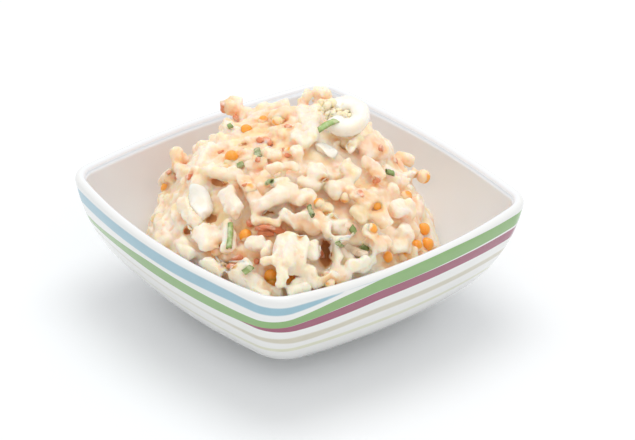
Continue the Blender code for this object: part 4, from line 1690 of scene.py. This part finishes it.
def glaze():
    """White glaze with painted stripes under it, and painted light that makes its inside cooler
    and lighter.
    """
    look = Nodes("white_glaze", IOR=1.5, Coat_Weight=0.3, Coat_Roughness=0.05)
    colour = look.mix(look.noise(9.0, 2.0), (0.81, 0.81, 0.79), (0.84, 0.84, 0.82))
    # Painted light: the same glaze is coloured cooler and a little lighter inside than outside,
    # set against the warm light that the salad throws on the inner wall
    inner_painted_light = look.mix(look.noise(9.0, 2.0), (0.825, 0.85, 0.88), (0.85, 0.875, 0.905))
    colour = look.mix(look.value("inside"), colour, inner_painted_light)
    wash = look.noise(160.0, 3.0)
    for name, paint in STRIPE_COLOURS.items():
        deeper = tuple(c * 0.90 for c in paint)
        shade = look.mix(wash, paint, deeper)
        soft = STRIPE_SOFTNESS[name]
        cover = look.span(look.value(name), -soft, soft)
        colour = look.mix(cover, colour, shade)
    look.feed("Base Color", colour)
    look.roughness(55.0, 3.0, 0.10, 0.17)
    look.bump(look.noise(70.0, 2.0), 0.04, 0.001)
    return look


def dressing():
    """Creamy dressing over torn seafood with stains and flecks of sauce, painted highlights on its
    ridges, painted warm and dark shade in its hollows and gaps, partly the sauce pooled there, and
    painted light on the heap's lower front.
    """
    look = Nodes(
        "dressed_salad",
        Subsurface_Weight=0.85,
        Subsurface_Radius=(1.0, 0.55, 0.28),
        Subsurface_Scale=0.0065,
        IOR=1.36,
    )
    tone = look.colour("tone")
    pale = look.mix(look.span(look.noise(130.0, 3.0), 0.42, 0.66), tone, (0.93, 0.82, 0.69))
    stain = look.noise(75.0, 4.0, 0.6, 0.6)
    stained = look.patches(pale, (0.93, 0.56, 0.29), 0.65, stain, 0.50, 0.70)
    fleck = look.noise(260.0, 3.0, 0.55, 0.3)
    flecked = look.patches(stained, (0.90, 0.44, 0.18), 0.5, fleck, 0.66, 0.74)
    by_roe = look.math("MULTIPLY", look.value("stained"), 0.85)
    flecked = look.patches(flecked, (0.94, 0.47, 0.18), by_roe, look.noise(190.0, 3.0), 0.32, 0.56)
    # Painted shade in the hollows and gaps, warm orange and then dark brown, partly the orange
    # sauce that pools there
    hollow_shade_and_sauce = look.value("hollow_shade_and_sauce")
    warm_shade_and_sauce = look.mix(look.span(hollow_shade_and_sauce, 0.10, 0.90), flecked, (0.92, 0.62, 0.34))
    deep_painted_shade = look.mix(look.span(hollow_shade_and_sauce, 0.70, 1.0), warm_shade_and_sauce, (0.62, 0.27, 0.10))
    # Painted highlight on the ridges, a lighter cream
    ridge_highlight = look.math("MULTIPLY", look.value("ridge_highlight"), 0.25)
    look.feed("Base Color", look.mix(ridge_highlight, deep_painted_shade, (0.94, 0.80, 0.70)))
    look.roughness(210.0, 3.0, 0.36, 0.56)
    look.bump(look.noise(430.0, 4.0, 0.6), 0.32, 0.0011)
    return look


def roe_look():
    """Clear orange roe, milky where the dressing coats it."""
    look = Nodes(
        "roe",
        Subsurface_Weight=0.6,
        Subsurface_Radius=(1.0, 0.45, 0.10),
        Subsurface_Scale=0.0018,
        IOR=1.38,
        Coat_Weight=0.3,
        Coat_Roughness=0.15,
    )
    body = look.mix(look.noise(220.0, 2.0), (0.94, 0.33, 0.03), (0.97, 0.45, 0.07))
    milky = look.span(look.value("coat"), 0.10, 0.85)
    look.feed("Base Color", look.mix(milky, body, (0.95, 0.73, 0.49)))
    look.roughness(300.0, 2.0, 0.22, 0.40)
    look.bump(look.noise(700.0, 3.0), 0.15, 0.0005)
    return look


def chive_look():
    """Green chive, smeared with dressing."""
    look = Nodes("chive", Subsurface_Weight=0.15, Subsurface_Scale=0.0015, IOR=1.4)
    streaks = look.noise(700.0, 3.0, 0.6, 0.4)
    dark = look.mix(streaks, (0.10, 0.16, 0.04), (0.24, 0.29, 0.10))
    light = look.mix(streaks, (0.20, 0.36, 0.08), (0.54, 0.64, 0.28))
    colour = look.mix(look.value("bright"), dark, light)
    smear = look.noise(330.0, 3.0)
    look.feed("Base Color", look.patches(colour, (0.88, 0.86, 0.62), 0.35, smear, 0.44, 0.62))
    look.roughness(400.0, 2.0, 0.25, 0.45)
    look.bump(streaks, 0.3, 0.0004)
    return look


def crab_look():
    """Red and white fibres of crab."""
    look = Nodes(
        "crab",
        Subsurface_Weight=0.3,
        Subsurface_Radius=(1.0, 0.35, 0.2),
        Subsurface_Scale=0.002,
        IOR=1.4,
    )
    fibres = look.noise(520.0, 4.0, 0.65, 0.5)
    red = look.mix(fibres, (0.62, 0.13, 0.05), (0.90, 0.42, 0.22))
    milky = look.noise(240.0, 3.0)
    look.feed("Base Color", look.patches(red, (0.94, 0.76, 0.62), 0.75, milky, 0.46, 0.66))
    look.roughness(300.0, 2.0, 0.30, 0.50)
    look.bump(fibres, 0.4, 0.0005)
    return look


def white_look():
    """Moist egg white, and squid that lets light through."""
    look = Nodes(
        "egg_white_and_squid",
        Subsurface_Weight=0.45,
        Subsurface_Radius=(1.0, 0.75, 0.55),
        Subsurface_Scale=0.004,
        IOR=1.42,
        Coat_Weight=0.25,
        Coat_Roughness=0.15,
    )
    milk = look.mix(look.noise(120.0, 3.0), (0.90, 0.87, 0.78), (0.95, 0.93, 0.86))
    clear = look.mix(look.value("clear"), milk, (0.66, 0.50, 0.34))
    smear = look.noise(150.0, 3.0)
    look.feed("Base Color", look.patches(clear, (0.94, 0.82, 0.62), 0.4, smear, 0.52, 0.68))
    look.roughness(220.0, 2.0, 0.18, 0.34)
    look.bump(look.noise(380.0, 3.0), 0.12, 0.0006)
    return look


def squid_look():
    """Smooth, moist squid."""
    look = Nodes(
        "squid",
        Subsurface_Weight=0.45,
        Subsurface_Radius=(1.0, 0.70, 0.50),
        Subsurface_Scale=0.004,
        IOR=1.42,
        Coat_Weight=0.25,
        Coat_Roughness=0.15,
    )
    flesh = look.mix(look.noise(110.0, 3.0), (0.91, 0.85, 0.74), (0.93, 0.89, 0.81))
    stain = look.noise(90.0, 3.0, 0.5, 0.4)
    look.feed("Base Color", look.patches(flesh, (0.93, 0.74, 0.50), 0.4, stain, 0.52, 0.70))
    look.roughness(220.0, 2.0, 0.22, 0.40)
    look.bump(look.noise(420.0, 3.0), 0.15, 0.0006)
    return look


def yolk_look():
    """Crumbly pale yolk."""
    look = Nodes(
        "yolk",
        Subsurface_Weight=0.3,
        Subsurface_Radius=(1.0, 0.6, 0.2),
        Subsurface_Scale=0.002,
        IOR=1.4,
    )
    colour = look.mix(look.noise(300.0, 3.0), (0.97, 0.80, 0.50), (0.96, 0.87, 0.70))
    look.feed("Base Color", colour)
    look.roughness(300.0, 2.0, 0.45, 0.65)
    look.bump(look.noise(900.0, 4.0), 0.4, 0.0005)
    return look


def floor_look():
    """Plain pale floor."""
    look = Nodes("pale_floor", Roughness=0.6, IOR=1.3)
    colour = look.mix(look.noise(2.0, 2.0), (0.885, 0.895, 0.905), (0.895, 0.905, 0.915))
    look.feed("Base Color", colour)
    look.roughness(6.0, 2.0, 0.55, 0.65)
    return look


# Stage

FLOOR_SIZE = 6.0
SKY_STRENGTH = 0.87
SKY_COLOUR = (0.985, 0.99, 1.0, 1.0)
LAMPS = (  # name, (across, away, height), size, power
    ("key", (0.0, 0.20, 1.15), 0.8, 4.5),
    ("front", (0.55, -1.00, 0.75), 0.9, 1.1),
)


def build_floor():
    """A wide flat floor, which isn't a part of the salad."""
    half = FLOOR_SIZE / 2
    corners = [(-half, -half, 0.0), (half, -half, 0.0), (half, half, 0.0), (-half, half, 0.0)]
    floor = new_object("floor", corners, [(0, 1, 2, 3)])
    floor_look().dress(floor)


def build_lights():
    """A white sky, one large lamp above and a weak one in front."""
    world = bpy.data.worlds.new("sky")
    bpy.context.scene.world = world
    world.use_nodes = True
    sky = world.node_tree.nodes["Background"]
    sky.inputs["Color"].default_value = SKY_COLOUR
    sky.inputs["Strength"].default_value = SKY_STRENGTH
    for name, (across, away, height), size, power in LAMPS:
        lamp = bpy.data.lights.new(name, "AREA")
        lamp.shape = "DISK"
        lamp.size = size
        lamp.energy = power
        light = bpy.data.objects.new(name, lamp)
        light.location = ACROSS * across + AWAY * away + UP * height
        aim = UP * RIM_HEIGHT - light.location
        light.rotation_euler = aim.to_track_quat("-Z", "Y").to_euler()
        bpy.context.scene.collection.objects.link(light)
    bpy.context.scene.view_settings.view_transform = "Standard"


def main():
    """Builds the stage and every piece, and hides the solids that the pieces stand in for."""
    build_camera()
    build_lights()
    build_floor()
    cavity = build_cavity()

    bowl = build_bowl()
    glaze().dress(bowl)
    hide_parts("bowl")

    mass = build_mass(cavity)
    dressed = dressing()
    dressed.dress(mass)
    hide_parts("salad")

    ring = build_ring()
    squid_look().dress(ring)
    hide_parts("squid_ring")

    mass_tree = tree_of(mass)
    mesh = mass.data
    sampler = Sampler(
        [vert.co for vert in mesh.vertices],
        [tuple(face.vertices) for face in mesh.polygons],
        open_air(cavity),
    )
    pieces = [
        (build_roe(mass_tree, sampler), roe_look()),
        (build_chives(mass_tree, sampler), chive_look()),
        (build_crab(mass_tree, sampler), crab_look()),
        (build_whites(mass_tree), white_look()),
        (build_yolk(), yolk_look()),
        (build_threads(mass_tree), dressed),
    ]
    stain_round(mass, [piece for piece, _ in pieces if piece.name in ("roe", "crab")])
    for piece, look in pieces:
        look.dress(piece)
    for piece in [bowl, mass, ring] + [piece for piece, _ in pieces]:
        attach(piece, "root")


main()
